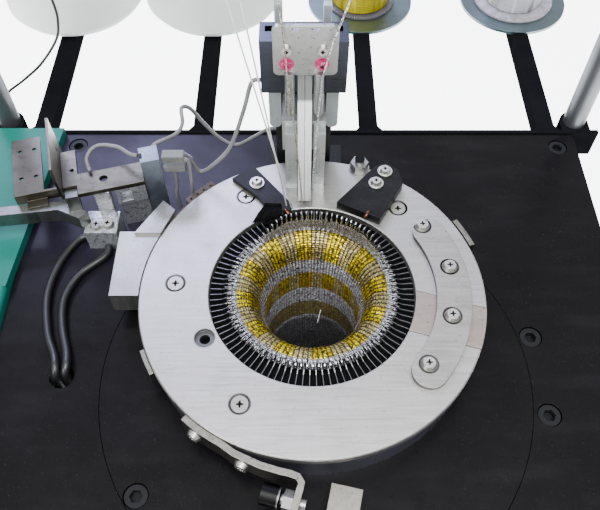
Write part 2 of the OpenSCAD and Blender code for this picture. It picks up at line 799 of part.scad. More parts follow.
// Place and top of the rod on each lift bar
bar_rod = [[-22.8, 178], [8.9, 163]];
bar_rod_w = 5.4;
finger_lean = 0.2;
finger_x = [-8.1, -2.9];
finger_t = 3;
finger_low = 5;
finger_top = 148;
pin_x = [-16, 4];
pin_low = 79;

module changer_post() {
  color([0.12, 0.12, 0.13]) {
    translate([-28, post_front, table_z]) cube([44, 22, head_h + 92]);
    translate([-24, changer_front + 20, ring_z + changer_block_z - 8])
      cube([36, 33, 22]);
    translate([-40, post_front, table_z]) cube([68, 40, 8]);
  }
}

module changer_stand() {
  color([0.74, 0.76, 0.76]) {
    translate([-22.2, 102, ring_z + 40]) cube([32.2, post_front - 102, 30]);
    for (x = leg_at) translate([x, 92, ring_z]) {
      cube([leg_w, 10 + eps, 67]);
      translate([0, -3, 0]) cube([leg_w, 5, 10]);
    }
  }
}

module changer_block() {
  color([0.3, 0.32, 0.36]) translate([0, 0, ring_z + changer_block_z]) difference() {
    translate([changer_x - changer_w / 2, changer_front, 0]) cube([changer_w, 20, changer_block_h]);
    translate([finger_x[0] - finger_w / 2 - 0.4, changer_front - 1, -1])
      cube([finger_x[1] - finger_x[0] + finger_w + 0.8, 12.5, changer_block_h + 2]);
    for (x = bar_x) translate([x - bar_w / 2 - 0.3, bar_y - bar_t / 2 - 0.3, -1])
      cube([bar_w + 0.6, bar_t + 0.6, changer_block_h + 2]);
    for (p = bar_rod) translate([p[0] - bar_rod_w / 2 - 0.3, bar_y - bar_t / 2 - 0.3, -1])
      cube([bar_rod_w + 0.6, bar_t + 0.6, changer_block_h + 2]);
    for (x = changer_screw_x, z = changer_screw_z)
      translate([x, changer_front + 4, z - changer_block_z]) rotate([90, 0, 0])
        cylinder(r = cover_pan_shank_r + screw_gap, h = 10, $fn = 32);
  }
}

// Pins with pointed ends, which hang from the foot of the cover plate
module changer_pins() {
  pin_r = 3.4;
  for (x = pin_x) translate([x, changer_front - pin_r - 0.2, ring_z]) {
    translate([0, 0, pin_low + 5]) cylinder(r = pin_r, h = changer_cover_z - pin_low - 2);
    translate([0, 0, pin_low]) cylinder(r1 = 0.8, r2 = pin_r, h = 5 + eps);
  }
}

module changer_cover() {
  z_mid = ring_z + changer_cover_z + changer_cover_h / 2;
  color([0.66, 0.67, 0.67]) changer_pins();
  color([0.66, 0.67, 0.67]) translate([changer_x + 1, changer_front, z_mid])
    rotate([90, 0, 0]) difference() {
      linear_extrude(changer_cover_t) round_rect(changer_cover_w, changer_cover_h, 4);
      for (x = changer_screw_x, z = changer_screw_z)
        translate([x - changer_x - 1, z - changer_cover_z - changer_cover_h / 2, -1])
          cylinder(r = cover_pan_shank_r + screw_gap, h = changer_cover_t + 2, $fn = 32);
      for (x = [-6.5, 6.5]) translate([x, changer_cover_h / 2 - 2.5, -1])
        linear_extrude(changer_cover_t + 2) slot_2d([-1.5, 0], [1.5, 0], 0.9);
    }
}

module finger(x) {
  lean_y = changer_front - 20;
  color([0.85, 0.85, 0.83]) translate([x, lean_y, ring_z + finger_low])
    rotate([-atan(finger_lean), 0, 0]) {
      translate([-finger_w / 2, -finger_t / 2, 4]) cube([finger_w, finger_t, finger_top - 10]);
      translate([-finger_w / 2, 0, 4]) rotate([0, 90, 0]) linear_extrude(finger_w)
        polygon([[-eps, -finger_t / 2], [4, -0.5], [4, 0.5], [-eps, finger_t / 2]]);
    }
}

module finger_left() {
  finger(finger_x[0]);
}

module finger_right() {
  finger(finger_x[1]);
}

module lift_bar(x, rod) {
  low = 60;
  shoulder = 120;
  color([0.68, 0.72, 0.72]) translate([0, bar_y, ring_z]) {
    translate([x - bar_w / 2, -bar_t / 2, low]) cube([bar_w, bar_t, shoulder - low]);
    translate([x, bar_t / 2, low]) rotate([90, 0, 0]) cylinder(r = bar_w / 2, h = bar_t);
    translate([rod[0] - bar_rod_w / 2, -bar_t / 2, shoulder - 14])
      cube([bar_rod_w, bar_t, rod[1] - shoulder + 14]);
  }
}

module bar_left() {
  lift_bar(bar_x[0], bar_rod[0]);
}

module bar_right() {
  lift_bar(bar_x[1], bar_rod[1]);
}

// Selector unit on the left of the table, turned about the right front corner of its bar
selector_at = [-130.4, 87.1];
selector_turn = 15;
selector_bar_z = 16;
selector_bar_t = 4;
foot_screw_at = [[-173, 69], [-164, 70]];
foot_top = -14;

module selector_place() {
  translate([selector_at[0], selector_at[1], ring_z]) rotate(selector_turn) children();
}

module selector_base() {
  color([0.6, 0.61, 0.6]) {
    selector_place() difference() {
      translate([-24, 0.5, -2]) cube([23.5, 20, selector_bar_z + 2]);
      translate([-21, -1, 1]) cube([9, 8, 11]);
    }
    selector_place() translate([-24, 6.5, -head_h]) cube([23.5, 14, head_h - 2 + eps]);
    difference() {
      translate([-182, 62, table_z]) cube([26, 22, head_h + foot_top]);
      for (p = foot_screw_at) blind_hole(p, ring_z + foot_top, 8);
    }
    translate([-170.5, 79, table_z + head_h + foot_top - eps])
      cube([12.5, 5, selector_bar_z - foot_top + eps]);
  }
}

module selector_column() {
  color([0.4, 0.43, 0.48]) selector_place() translate([0.3, 2.9, -head_h]) difference() {
    cube([14.5, 15.5, head_h + 38]);
    translate([-1, 4, head_h + 30]) cube([3, 6, 9]);
  }
}

module selector_bar() {
  color([0.72, 0.7, 0.66]) selector_place() translate([0, 0, selector_bar_z]) difference() {
    linear_extrude(selector_bar_t) polygon([
      [0, 0], [0, 21], [-50, 21], [-50, 47.5], [-62.2, 47.5], [-62.2, 9.6], [-51.6, 9.6],
      [-51.6, 0]
    ]);
    translate([-30.7, 11.3, -1]) cylinder(r = 3.2, h = 8);
    translate([-54, 26, -1]) cylinder(r = 1.6, h = 8, $fn = 32);
  }
}

// Bent sheet with a flat top, a front flange and a lip on the support bar
module selector_bracket() {
  sheet = 2;
  color([0.6, 0.58, 0.54]) translate([-234, 79, ring_z]) rotate(selector_turn) difference() {
    union() {
      translate([0, 0, 8]) cube([23.3, 62, sheet]);
      translate([0, 0, 0.2]) cube([37.4, sheet, 9.8]);
      translate([8, -7.5, 0.2]) cube([16, 8, sheet]);
    }
    for (x = [6.5, 18], y = [18, 48]) translate([x, y, 5]) cylinder(r = 1.6, h = 8, $fn = 32);
  }
}

// Upright sheet beside the bar, its rear edge runs up to a point
module selector_blade() {
  color([0.58, 0.57, 0.55]) selector_place() translate([-64.3, 0, 0]) rotate([90, 0, 90])
    linear_extrude(2) difference() {
      polygon([[-2, 40], [0, 52], [56, 51], [60, 8], [8, 4], [3, 14]]);
      for (x = [22, 42]) translate([x, 30]) circle(2, $fn = 32);
    }
}

support_z = -14;

module support_bar() {
  color([0.74, 0.76, 0.77]) {
    translate([0, 0, ring_z + support_z]) linear_extrude(-support_z) polygon([
      [-300, 62], [-248, 68.5], [-201.5, 74.5], [-183.5, 66], [-177.5, 72.5], [-201, 83.2],
      [-248, 77], [-300, 70.5]
    ]);
    translate([-300, 62, table_z + side_cover_rise])
      cube([14, 8.5, head_h + support_z - side_cover_rise + 5]);
    // Clamp block in the notch of the bar
    selector_place() translate([-61.8, 1, -eps]) cube([9.4, 8, 17]);
  }
}

plug_size = [17, 9, 6];
plug_at = [[-115.6, 95, 32], [-115.6, 95, 21.5]];

// Cables between devices, as round tubes along hand-picked points
grey_cable_r = 1.9;
grey_routes = [
  [[-125.5, 108.6, 33], [-122, 113, 35], [-108, 125, 33], [-104, 138, 32], [-105, 149, 38],
    [-99, 154, 33], [-90, 156, 14], [-78, 156, -4], [-64, 154, -10],
    [-48, 150, 4], [-36, 146, 17], [-28.4, 146, 18]],
  [[-98.8, 102, 35], [-95, 104, 28], [-92, 105.5, 14], [-88, 106, 10], [-79.9, 105, 17],
    [-63, 105, 39], [-50, 104.5, 78], [-43, 106, 103], [-36.3, 106, 106]],
  [[-174, 95.4, 22.2], [-177, 105, 27], [-170, 115, 30], [-154, 114, 30], [-143, 105, 32],
    [-135.6, 102, 33]],
  [[-98.8, 97.2, 35], [-95.3, 97.2, 31], [-95.6, 97.2, 16], [-97, 98, -4], [-98, 100, -20],
    [-98, 104, -34]],
  [[-109, 99, 21.7], [-108, 99, 12], [-109, 99, 0], [-111, 100, -12], [-110, 102, -34]]
];

module sensor_cables() {
  color([0.55, 0.55, 0.57]) translate([0, 0, ring_z]) {
    for (p = grey_routes) sweep(spline(p, 3), grey_cable_r, [0.2, 0.3, 1]);
    for (p = plug_at) translate(p) cube(plug_size);
  }
}

black_cable_r = 3.2;
black_routes = [
  [[-182.3, 72, -32], [-192, 68, -32], [-203, 45, -32], [-207, 15, -32], [-200, -18, -31],
    [-191, -38, -30], [-188, -47, -29], [-187.4, -52, -32], [-187.4, -53.5, -40],
    [-187.4, -53.5, -54], [-190, -54, -72], [-202, -55, -90], [-222, -55, -97],
    [-frame_half_w + 0.2, -55, -97]],
  [[-166, 61.5, -32], [-167, 52, -32], [-185, 34, -32], [-193, 12, -32], [-190, -12, -31],
    [-182, -36, -30], [-180, -46, -29], [-180.6, -51, -32], [-180.6, -52.5, -40],
    [-180.6, -52.5, -54], [-183, -50, -72], [-196, -46, -90], [-220, -44, -97],
    [-frame_half_w + 0.2, -44, -97]]
];
thin_wire = [[-282, 220.4, -30], [-281, 222, -14], [-262, 223, 1], [-240, 223, 20],
  [-219.7, 222.5, 45], [-212, 222, 63], [-210, 222, 87], [-216, 221, 150], [-235, 221, 240],
  [-252, 221, 360], [-260, 219, 520], [-261, 214, 680], [-261, 208, 713.8]];

module power_cables() {
  color([0.08, 0.08, 0.09]) translate([0, 0, ring_z]) {
    for (p = black_routes) sweep(spline(p, 3), black_cable_r, [0.2, 0.3, 1]);
    sweep(spline(thin_wire, 2), 1.2, [0.3, 1, 0.1]);
  }
}

yarn_r = 0.6;
eye_z = guide_z - ring_z - 4;
package_top = disc_z + disc_t + 2 * seat_gap + package_h - ring_z;
spool_h = 95;
spool_top = disc_z + disc_t + 2 * seat_gap + spool_h - ring_z;
yarn_y = disc_y - 28;
eye_half = 1.6;
yarn_rise = [for (i = [0:3]) [
  [disc_x[i], yarn_y, i < 2 ? package_top : spool_top],
  [eye_x[i], post_at[0][1] + eye_half, eye_z]
]];
yarn_fall = [
  [[eye_x[0], post_at[0][1] - eye_half, eye_z], [-15.5, 72, 6]],
  [[eye_x[1], post_at[0][1] - eye_half, eye_z], [-19.5, 74, 6]],
  [[eye_x[2], post_at[0][1] - eye_half, eye_z], [-19, 91, 149], [-17.2, 91.3, 118],
    [-14, 91, 87], [-9.5, 81, 42], [-7, 76, 4]],
  [[eye_x[3], post_at[0][1] - eye_half, eye_z], [11.9, 91, 149.5], [6, 91.3, 120],
    [4, 91, 87], [1.5, 81, 42], [0, 76, 4]]
];

// A straight round strand from a to b, which starts a little after a
module strand(a, b, r, after) {
  d = b - a;
  translate(a + after * unit(d)) rotate([0, acos(d[2] / norm(d)), atan2(d[1], d[0])])
    cylinder(r = r, h = norm(d) - after, $fn = 16);
}

module yarns() {
  color([0.9, 0.9, 0.88]) translate([0, 0, ring_z]) for (p = concat(yarn_rise, yarn_fall))
    for (i = [1:len(p) - 1]) strand(p[i - 1], p[i], yarn_r, i > 1 ? seat_gap : 0);
}

// Bearing and drive below the table
housing_bottom = table_z - 54;
sleeve_r = 60;
shoulder_z = table_under;

jack_shaft_r = 8;
jack_boss_r = 16.5;

// One casting holds the cylinder's bearing and the boss for the jack shaft
module bearing_housing() {
  top = table_z + 4;
  flange_top = table_z - inset_t;
  race_r = cylinder_r + 1.3;
  color([0.45, 0.46, 0.48]) difference() {
    union() {
      translate([0, 0, housing_bottom]) cylinder(r = housing_r, h = top - housing_bottom, $fn = 128);
      translate([0, 0, flange_top - 10]) cylinder(r = housing_flange_r, h = 10, $fn = 128);
      translate([jack_at[0], jack_at[1], housing_bottom + 2])
        cylinder(r = jack_boss_r, h = flange_top - housing_bottom - 2);
      translate([jack_at[0], -6, housing_bottom + 10])
        cube([-jack_at[0] - housing_r + 4, 12, flange_top - housing_bottom - 10]);
    }
    translate([0, 0, housing_bottom - 1])
      cylinder(r = sleeve_r + shaft_gap, h = top - housing_bottom + 2, $fn = 128);
    translate([0, 0, shoulder_z]) cylinder(r = race_r, h = top, $fn = 128);
    translate([jack_at[0], jack_at[1], housing_bottom - 1])
      cylinder(r = jack_shaft_r + shaft_gap, h = 80);
  }
}

// Rotating pieces
cylinder_top = ring_z - 3;
sleeve_bottom = housing_bottom - 22;
slot_in = cylinder_r - 4.5;
pitch = 360 / needle_count;

module needle_cylinder() {
  color([0.5, 0.5, 0.52]) {
    translate([0, 0, shoulder_z + seat_gap]) linear_extrude(cylinder_top - shoulder_z - seat_gap)
      difference() {
        circle(cylinder_r, $fn = 128);
        circle(cylinder_bore_r, $fn = 128);
        for (i = [0:needle_count - 1]) rotate(i * pitch)
          translate([slot_in, -slot_w / 2]) square([10, slot_w]);
      }
    translate([0, 0, sleeve_bottom])
      ring(slot_in - 0.5, cylinder_bore_r, shoulder_z + seat_gap - sleeve_bottom + eps);
    translate([0, 0, sleeve_bottom])
      ring(sleeve_r, cylinder_bore_r, shoulder_z - 1 - sleeve_bottom);
  }
}

function lift(a) =
  let (d = abs(a - 78), full = 30, ramp = 28)
    d < full ? needle_rise
    : d > full + ramp ? 0
    : needle_rise * (0.5 + 0.5 * cos(180 * (d - full) / ramp));

needle_tip = 1;
butt_z = 27;

// Latch needle seen from the side: x is outwards from the back of the stem, y is up
module needle_2d(open) {
  polygon([
    [0, -needle_l], [2.2, -needle_l], [2.2, -butt_z - 4], [7.2, -butt_z - 4], [7.2, -butt_z],
    [2.2, -butt_z], [2.2, -12], [1.2, -9], [1.1, -2.8], [1.5, -1.5], [2.1, -1.3], [2.6, -2],
    [2.7, -3.2], [3.2, -3.3], [3.3, -1.6], [2.8, -0.5], [1.9, 0], [0.9, -0.2], [0.2, -1.2],
    [0, -2.8]
  ]);
  if (open) polygon([[0.7, -8.2], [1.5, -7.4], [4.4, -13.4], [3.9, -14.4]]);
  else polygon([[0.8, -8.6], [1.7, -8.4], [3.1, -3.9], [2.7, -3.6]]);
}

module needles() {
  needle_back = slot_in + 0.5;
  color([0.85, 0.85, 0.85]) for (i = [0:needle_count - 1]) {
    up = lift(i * pitch);
    rotate(i * pitch) translate([needle_back, needle_t / 2, ring_z + needle_tip + up])
      rotate([90, 0, 0]) linear_extrude(needle_t) needle_2d(up > 8);
  }
}

bed_top = ring_z - 5;
bed_bottom = ring_z - 8;

module sinker_bed() {
  bed_in = cylinder_r + 0.2;
  bed_out = ring_hole_r - 0.5;
  color([0.07, 0.07, 0.08]) {
    translate([0, 0, bed_bottom]) ring(bed_out - 0.6, bed_in + 0.3, 1);
    translate([0, 0, bed_bottom + 1 - eps]) linear_extrude(bed_top - bed_bottom - 1) difference() {
      circle(bed_out, $fn = 128);
      circle(bed_in, $fn = 128);
      for (i = [0:needle_count - 1]) rotate((i + 0.5) * pitch)
        translate([bed_in + 1.3, -sinker_t / 2 - 0.2]) square([20, sinker_t + 0.4]);
    }
  }
}

module sinkers() {
  z0 = bed_bottom + 1.1;
  r_out = ring_hole_r - 0.8;
  r_in = cylinder_r - 2.2;
  step = cylinder_r + 1.6;
  color([0.88, 0.88, 0.88]) for (i = [0:needle_count - 1]) rotate((i + 0.5) * pitch)
    translate([0, sinker_t / 2, 0]) rotate([90, 0, 0]) linear_extrude(sinker_t) polygon([
      [step, z0], [r_out, z0], [r_out, ring_z - 2.6], [step + 2, ring_z - 2.6],
      [step - 1, ring_z - 1.4], [r_in, ring_z - 1.4], [r_in, cylinder_top + 0.2],
      [step, cylinder_top + 0.2]
    ]);
}

// The knitted tube hangs from the needles and narrows on its way down
fabric_face = [
  [58.4, -1.2], [54, -1.3], [50, -2], [46.6, -3.6], [44.2, -6.4], [41.6, -11], [39.2, -17.5],
  [fabric_r + 1.2, -25], [fabric_r, -34], [fabric_r, -56], [fabric_r, -81], [fabric_r, -105],
  [fabric_r - 1, -150], [28, -205], [20.5, -248]
];
fabric_back = [
  [22.5, -248.6], [30, -205], [fabric_r + 1, -150], [fabric_r + 2, -105], [fabric_r + 2, -56],
  [fabric_r + 2, -34], [fabric_r + 3.2, -25], [41.2, -18], [43.6, -12],
  [46, -7.6], [48.4, -5], [51, -3.2], [54.4, -2.6], [58.4, -2.4]
];

module fabric_tube() {
  color([0.75, 0.7, 0.4]) translate([0, 0, ring_z]) rotate_extrude($fn = 96)
    polygon(concat(fabric_face, fabric_back));
}

module takedown_weight() {
  top = ring_z - 246;
  spigot = fabric_face[len(fabric_face) - 1][0] - 0.5;
  color([0.25, 0.26, 0.28]) translate([0, 0, top]) {
    translate([0, 0, -4 - eps]) cylinder(r = spigot, h = 16);
    translate([0, 0, -74]) cylinder(r = 27, h = 70);
    translate([0, 0, -80]) cylinder(r1 = 20, r2 = 27, h = 6 + eps);
  }
}

// Involute gear outline
function involute(rb, t) = rb * [cos(t) + t * PI / 180 * sin(t), sin(t) - t * PI / 180 * cos(t)];
function involute_turn(rb, r) = let (t = sqrt(pow(r / rb, 2) - 1)) t * 180 / PI - atan(t);

function gear_outline(teeth, m, backlash) =
  let (
    rp = m * teeth / 2,
    rb = rp * cos(20),
    ro = rp + 0.95 * m,
    rf = rp - 1.25 * m,
    half = 90 / teeth - backlash / rp * 180 / PI / 2 + involute_turn(rb, rp),
    rs = [max(rb, rf + 0.2), rp, (rp + ro) / 2, ro]
  )
    [
      for (i = [0:teeth - 1])
        let (c = 360 * i / teeth)
          each concat(
            [on_circle(rf, c - half - 0.2)],
            [for (r = rs) on_circle(r, c - half + involute_turn(rb, r))],
            [for (k = [3:-1:0]) on_circle(rs[k], c + half - involute_turn(rb, rs[k]))],
            [on_circle(rf, c + half + 0.2)]
          )
    ];

gear_z = housing_bottom - 20;

module ring_gear() {
  color([0.5, 0.5, 0.45]) translate([0, 0, gear_z]) difference() {
    linear_extrude(gear_w) polygon(gear_outline(ring_gear_teeth, gear_module, 0.3));
    translate([0, 0, -1]) cylinder(r = sleeve_r + 0.05, h = gear_w + 2, $fn = 128);
  }
}

pulley_z = gear_z - 36;
motor_rail_z = pulley_z - 30 - frame_tube;
pulley_w = 20;
belt_w = 10;
belt_t = 6;
belt_play = 0.4;

module pulley(rim, hub_r) {
  groove = belt_w / 2 + 0.5;
  root = rim - belt_t - 1;
  mid = pulley_w / 2;
  rotate_extrude($fn = 96) polygon([
    [0, -6], [hub_r, -6], [hub_r, 0], [rim, 0], [rim, mid - groove], [root, mid - groove + 0.5],
    [root, mid + groove - 0.5], [rim, mid + groove], [rim, pulley_w], [0, pulley_w]
  ]);
}

module jack_shaft() {
  shaft_bottom = pulley_z - 8;
  color([0.55, 0.55, 0.5]) translate([jack_at[0], jack_at[1], 0]) {
    translate([0, 0, shaft_bottom]) cylinder(r = jack_shaft_r, h = table_z - inset_t - 4 - shaft_bottom);
    translate([0, 0, gear_z]) rotate(180 / pinion_teeth) linear_extrude(gear_w)
      polygon(gear_outline(pinion_teeth, gear_module, 0.3));
    translate([0, 0, pulley_z]) pulley(jack_pulley_r, 18);
  }
}

motor_top = motor_rail_z + frame_tube;

module motor_pulley() {
  color([0.55, 0.55, 0.5]) translate([motor_at[0], motor_at[1], 0]) {
    translate([0, 0, pulley_z]) pulley(motor_pulley_r, 14);
    translate([0, 0, motor_top - 40]) cylinder(r = motor_shaft_r, h = pulley_z - motor_top + 44);
  }
}

module belt_outline(r_jack, r_motor) {
  hull() {
    translate(jack_at) circle(r_jack, $fn = 72);
    translate(motor_at) circle(r_motor, $fn = 48);
  }
}

module drive_belt() {
  r_jack = jack_pulley_r - belt_t - 1 + belt_play;
  r_motor = motor_pulley_r - belt_t - 1 + belt_play;
  color([0.06, 0.06, 0.06]) translate([0, 0, pulley_z + (pulley_w - belt_w) / 2])
    linear_extrude(belt_w) difference() {
      belt_outline(r_jack + belt_t, r_motor + belt_t);
      belt_outline(r_jack, r_motor);
    }
}

module motor() {
  motor_l = 190;
  fins = 16;
  color([0.22, 0.35, 0.42]) translate([motor_at[0], motor_at[1], 0]) difference() {
    union() {
      translate([0, 0, motor_top - motor_l]) cylinder(r = motor_r - 6, h = motor_l);
      translate([0, 0, motor_top - 12]) cylinder(r = motor_r, h = 12);
      translate([0, 0, motor_top - motor_l]) cylinder(r = motor_r - 2, h = 30);
      for (i = [0:fins - 1]) rotate(360 * i / fins)
        translate([motor_r - 10, -1.5, motor_top - motor_l + 36]) cube([9, 3, motor_l - 56]);
      translate([motor_r - 12, -22, motor_top - 110]) cube([28, 44, 60]);
    }
    translate([0, 0, motor_top - 46]) cylinder(r = motor_shaft_r + shaft_gap, h = 60);
  }
}

place() base_frame();
place() levelling_feet();
place() body_panels();
place() front_apron();
place() door_hinges();
place() door();
place() start_button();
place() stop_button();
place() side_cover();
place() table_plate();
place() inset_plate();
place() table_bolts();
place() creel_frame();
place() spool_discs();
place() white_packages();
place() gold_spool();
place() clear_spool();
place() posts();
place() guide_bar();
place() cam_box();
place() cam_ring();
place() cover_ring();
place() cover_screws();
place() gate_insert();
place() gate_strap();
place() pan_screws();
place() feeder_arms();
place() hex_fasteners();
place() ring_straps();
place() side_plates();
place() toothed_strip();
place() changer_post();
place() changer_stand();
place() changer_block();
place() changer_cover();
place() finger_left();
place() finger_right();
place() bar_left();
place() bar_right();
place() selector_base();
place() selector_column();
place() selector_bar();
place() selector_bracket();
place() selector_blade();
place() support_bar();
place() sensor_cables();
place() power_cables();
place() yarns();
place() bearing_housing();
place() needle_cylinder();
place() needles();
place() sinker_bed();
place() sinkers();
place() ring_gear();
place() fabric_tube();
place() takedown_weight();
place() jack_shaft();
place() motor_pulley();
place() drive_belt();
place() motor();
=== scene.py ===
"""Finishes, knitted tube, yarns and cables of a small-diameter circular knitting machine."""

import math
import random

import bmesh
import bpy
import numpy as np
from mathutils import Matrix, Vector


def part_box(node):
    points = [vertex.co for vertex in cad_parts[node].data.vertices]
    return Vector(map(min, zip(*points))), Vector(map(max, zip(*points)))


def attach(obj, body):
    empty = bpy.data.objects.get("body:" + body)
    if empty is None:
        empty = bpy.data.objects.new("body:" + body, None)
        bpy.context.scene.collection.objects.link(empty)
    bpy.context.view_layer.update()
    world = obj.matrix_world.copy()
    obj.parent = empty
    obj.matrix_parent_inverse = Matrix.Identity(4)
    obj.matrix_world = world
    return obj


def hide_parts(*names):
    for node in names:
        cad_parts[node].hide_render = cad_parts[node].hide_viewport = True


bl_info = {
    "name": "Circular Knitting Machine",
    "version": (1, 0, 0),
    "blender": (4, 5, 0),
    "location": "3D View > Sidebar > Knitting",
    "description": "Finishes and soft pieces for a small-diameter circular knitting machine",
    "category": "Object",
}

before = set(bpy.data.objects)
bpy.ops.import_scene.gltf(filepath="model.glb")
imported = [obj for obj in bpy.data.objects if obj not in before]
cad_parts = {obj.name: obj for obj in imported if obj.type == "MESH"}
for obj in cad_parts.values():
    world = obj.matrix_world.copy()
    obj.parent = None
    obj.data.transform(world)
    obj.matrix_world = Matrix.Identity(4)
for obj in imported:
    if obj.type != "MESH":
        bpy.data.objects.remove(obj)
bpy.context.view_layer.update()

MM = 0.001
ROOT = "machine"
TURNING = "cylinder"

ring_low, ring_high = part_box("cover_ring")
AXIS = Vector(((ring_low[0] + ring_high[0]) / 2, (ring_low[1] + ring_high[1]) / 2, 0))
RING_TOP = ring_high[2]


def spot(x, y, z=0.0):
    """A place in metres from millimetres measured from the centre of the cover ring's top."""
    return Vector((AXIS.x + x * MM, AXIS.y + y * MM, RING_TOP + z * MM))


def spots(route):
    return [spot(*place) for place in route]


# Sizes and colours that a user would change


class KnitSizes(bpy.types.PropertyGroup):
    """Stitches and yarns of the knitted tube"""
    needles: bpy.props.IntProperty(
        name="Needles", description="Needles round the cylinder", default=96, min=60, max=120)
    gold_run: bpy.props.FloatProperty(
        name="Gold band", description="Length of a gold band along the tube", default=23 * MM,
        unit="LENGTH")
    silver_run: bpy.props.FloatProperty(
        name="Silver band", description="Length of a silver band along the tube",
        default=20 * MM, unit="LENGTH")
    rib: bpy.props.FloatProperty(
        name="Rib depth", description="How far a column of stitches stands out",
        default=0.55 * MM, unit="LENGTH")
    gold: bpy.props.FloatVectorProperty(
        name="Gold yarn", description="Colour of the metallic gold yarn", subtype="COLOR",
        size=4, default=(0.56, 0.42, 0.0, 1))
    silver: bpy.props.FloatVectorProperty(
        name="Silver yarn", description="Colour of the metallic silver yarn", subtype="COLOR",
        size=4, default=(0.62, 0.62, 0.66, 1))


class BrushSizes(bpy.types.PropertyGroup):
    """Hair of the latch brush"""
    bristles: bpy.props.IntProperty(
        name="Bristles", description="Number of bristles", default=150, min=20, max=400)
    thickness: bpy.props.FloatProperty(
        name="Bristle thickness", description="Diameter of a bristle", default=0.9 * MM,
        subtype="DISTANCE", unit="LENGTH", precision=5)


class FinishColours(bpy.types.PropertyGroup):
    """Colours of the main finishes"""
    table: bpy.props.FloatVectorProperty(
        name="Table", description="Black finish of the table plates", subtype="COLOR", size=4,
        default=(0.0032, 0.0028, 0.0033, 1))
    ring: bpy.props.FloatVectorProperty(
        name="Cover ring", description="Ground steel of the cover ring", subtype="COLOR", size=4,
        default=(0.43, 0.419, 0.406, 1))
    cabinet: bpy.props.FloatVectorProperty(
        name="Cabinet", description="Paint of the sheet panels", subtype="COLOR", size=4,
        default=(0.002, 0.105, 0.083, 1))
    cable: bpy.props.FloatVectorProperty(
        name="Sensor cable", description="Sheath of the thin cables", subtype="COLOR", size=4,
        default=(0.125, 0.125, 0.13, 1))


class StageSettings(bpy.types.PropertyGroup):
    """Floor and key light"""
    floor: bpy.props.FloatVectorProperty(
        name="Floor", description="Colour of the floor", subtype="COLOR", size=4,
        default=(0.99, 0.99, 0.99, 1))
    key_power: bpy.props.FloatProperty(
        name="Key light", description="Power of the large light overhead", default=120.0,
        subtype="POWER")


# Building materials

# Sockets of a Mix node that mixes colours
MIX_FACTOR, MIX_A, MIX_B, MIX_RESULT = 0, 6, 7, 2
# Dark colour for painted shade in screw slots and for black bolt ends
SHADE_AND_BLACK = (0.012, 0.012, 0.012, 1)
PINK_LACQUER = (0.36, 0.005, 0.09, 1)
# Height of the screws that wear a seal of lacquer, in millimetres above the ring's top
SEALED_SCREWS = 127.5


class Shade:
    """One material's node tree, with short calls that add and join nodes."""

    def __init__(self, name):
        self.material = bpy.data.materials.new(name)
        self.material.use_nodes = True
        self.tree = self.material.node_tree
        self.surface = self.tree.nodes["Principled BSDF"]
        self.coords = self.add("TexCoord").outputs["Object"]

    def put(self, socket, value):
        """Join a socket to another one, or set its value."""
        if isinstance(value, bpy.types.NodeSocket):
            self.tree.links.new(value, socket)
        else:
            socket.default_value = value

    def add(self, kind, inputs=None, **settings):
        """A new node with its inputs and settings."""
        node = self.tree.nodes.new("ShaderNode" + kind)
        for name, value in settings.items():
            setattr(node, name, value)
        for key, value in (inputs or {}).items():
            self.put(node.inputs[key], value)
        return node

    def set(self, **sockets):
        """Fill the surface's sockets; an underscore stands for a space."""
        for name, value in sockets.items():
            self.put(self.surface.inputs[name.replace("_", " ")], value)
        return self

    def stretched(self, scale):
        """Object coordinates with a scale for each axis."""
        return self.add("Mapping", {"Vector": self.coords, "Scale": scale}).outputs["Vector"]

    def noise(self, scale, detail=3.0, rough=0.55, source=None):
        return self.add("TexNoise", {"Vector": source or self.coords, "Scale": scale,
                                     "Detail": detail, "Roughness": rough}).outputs["Fac"]

    def cells(self, scale):
        """Three chance values that are the same all over a small cell."""
        texture = self.add("TexVoronoi", {"Vector": self.coords, "Scale": scale})
        chance = self.add("SeparateColor", {"Color": texture.outputs["Color"]})
        return [chance.outputs[c] for c in ("Red", "Green", "Blue")]

    def math(self, operation, a, b=0.0, clamp=False):
        return self.add("Math", {0: a, 1: b}, operation=operation, use_clamp=clamp).outputs[0]

    def span(self, value, low, high, to_low=0.0, to_high=1.0):
        """A value carried from one range to another and held at its ends."""
        return self.add("MapRange", {"Value": value, "From Min": low, "From Max": high,
                                     "To Min": to_low, "To Max": to_high}).outputs["Result"]

    def mix(self, factor, a, b):
        """Colour a turning into colour b."""
        node = self.add("Mix", data_type="RGBA")
        self.put(node.inputs[MIX_FACTOR], factor)
        self.put(node.inputs[MIX_A], a)
        self.put(node.inputs[MIX_B], b)
        return node.outputs[MIX_RESULT]

    def near(self, centre):
        """Distance from a place."""
        return self.add("VectorMath", {0: self.coords, 1: centre},
                        operation="DISTANCE").outputs["Value"]

    def height(self):
        """Height of a point above the floor."""
        return self.add("SeparateXYZ", {"Vector": self.coords}).outputs["Z"]

    def bump(self, height, strength, distance, normal=None):
        node = self.add("Bump", {"Height": height, "Strength": strength, "Distance": distance})
        if normal is not None:
            self.put(node.inputs["Normal"], normal)
        return node.outputs["Normal"]

    def steep(self):
        """One on the walls of a lying sheet, nought on its top."""
        facing = self.add("SeparateXYZ", {"Vector": self.add("NewGeometry").outputs["True Normal"]})
        return self.span(self.math("ABSOLUTE", facing.outputs["Z"]), 0.4, 0.75, 1, 0)

    def edge(self, radius):
        """Normals that round every edge."""
        return self.add("Bevel", {"Radius": radius}, samples=4).outputs["Normal"]


def tone(colour, factor):
    """A colour made darker or lighter."""
    return tuple(min(1.0, c * factor) for c in colour[:3]) + (1,)


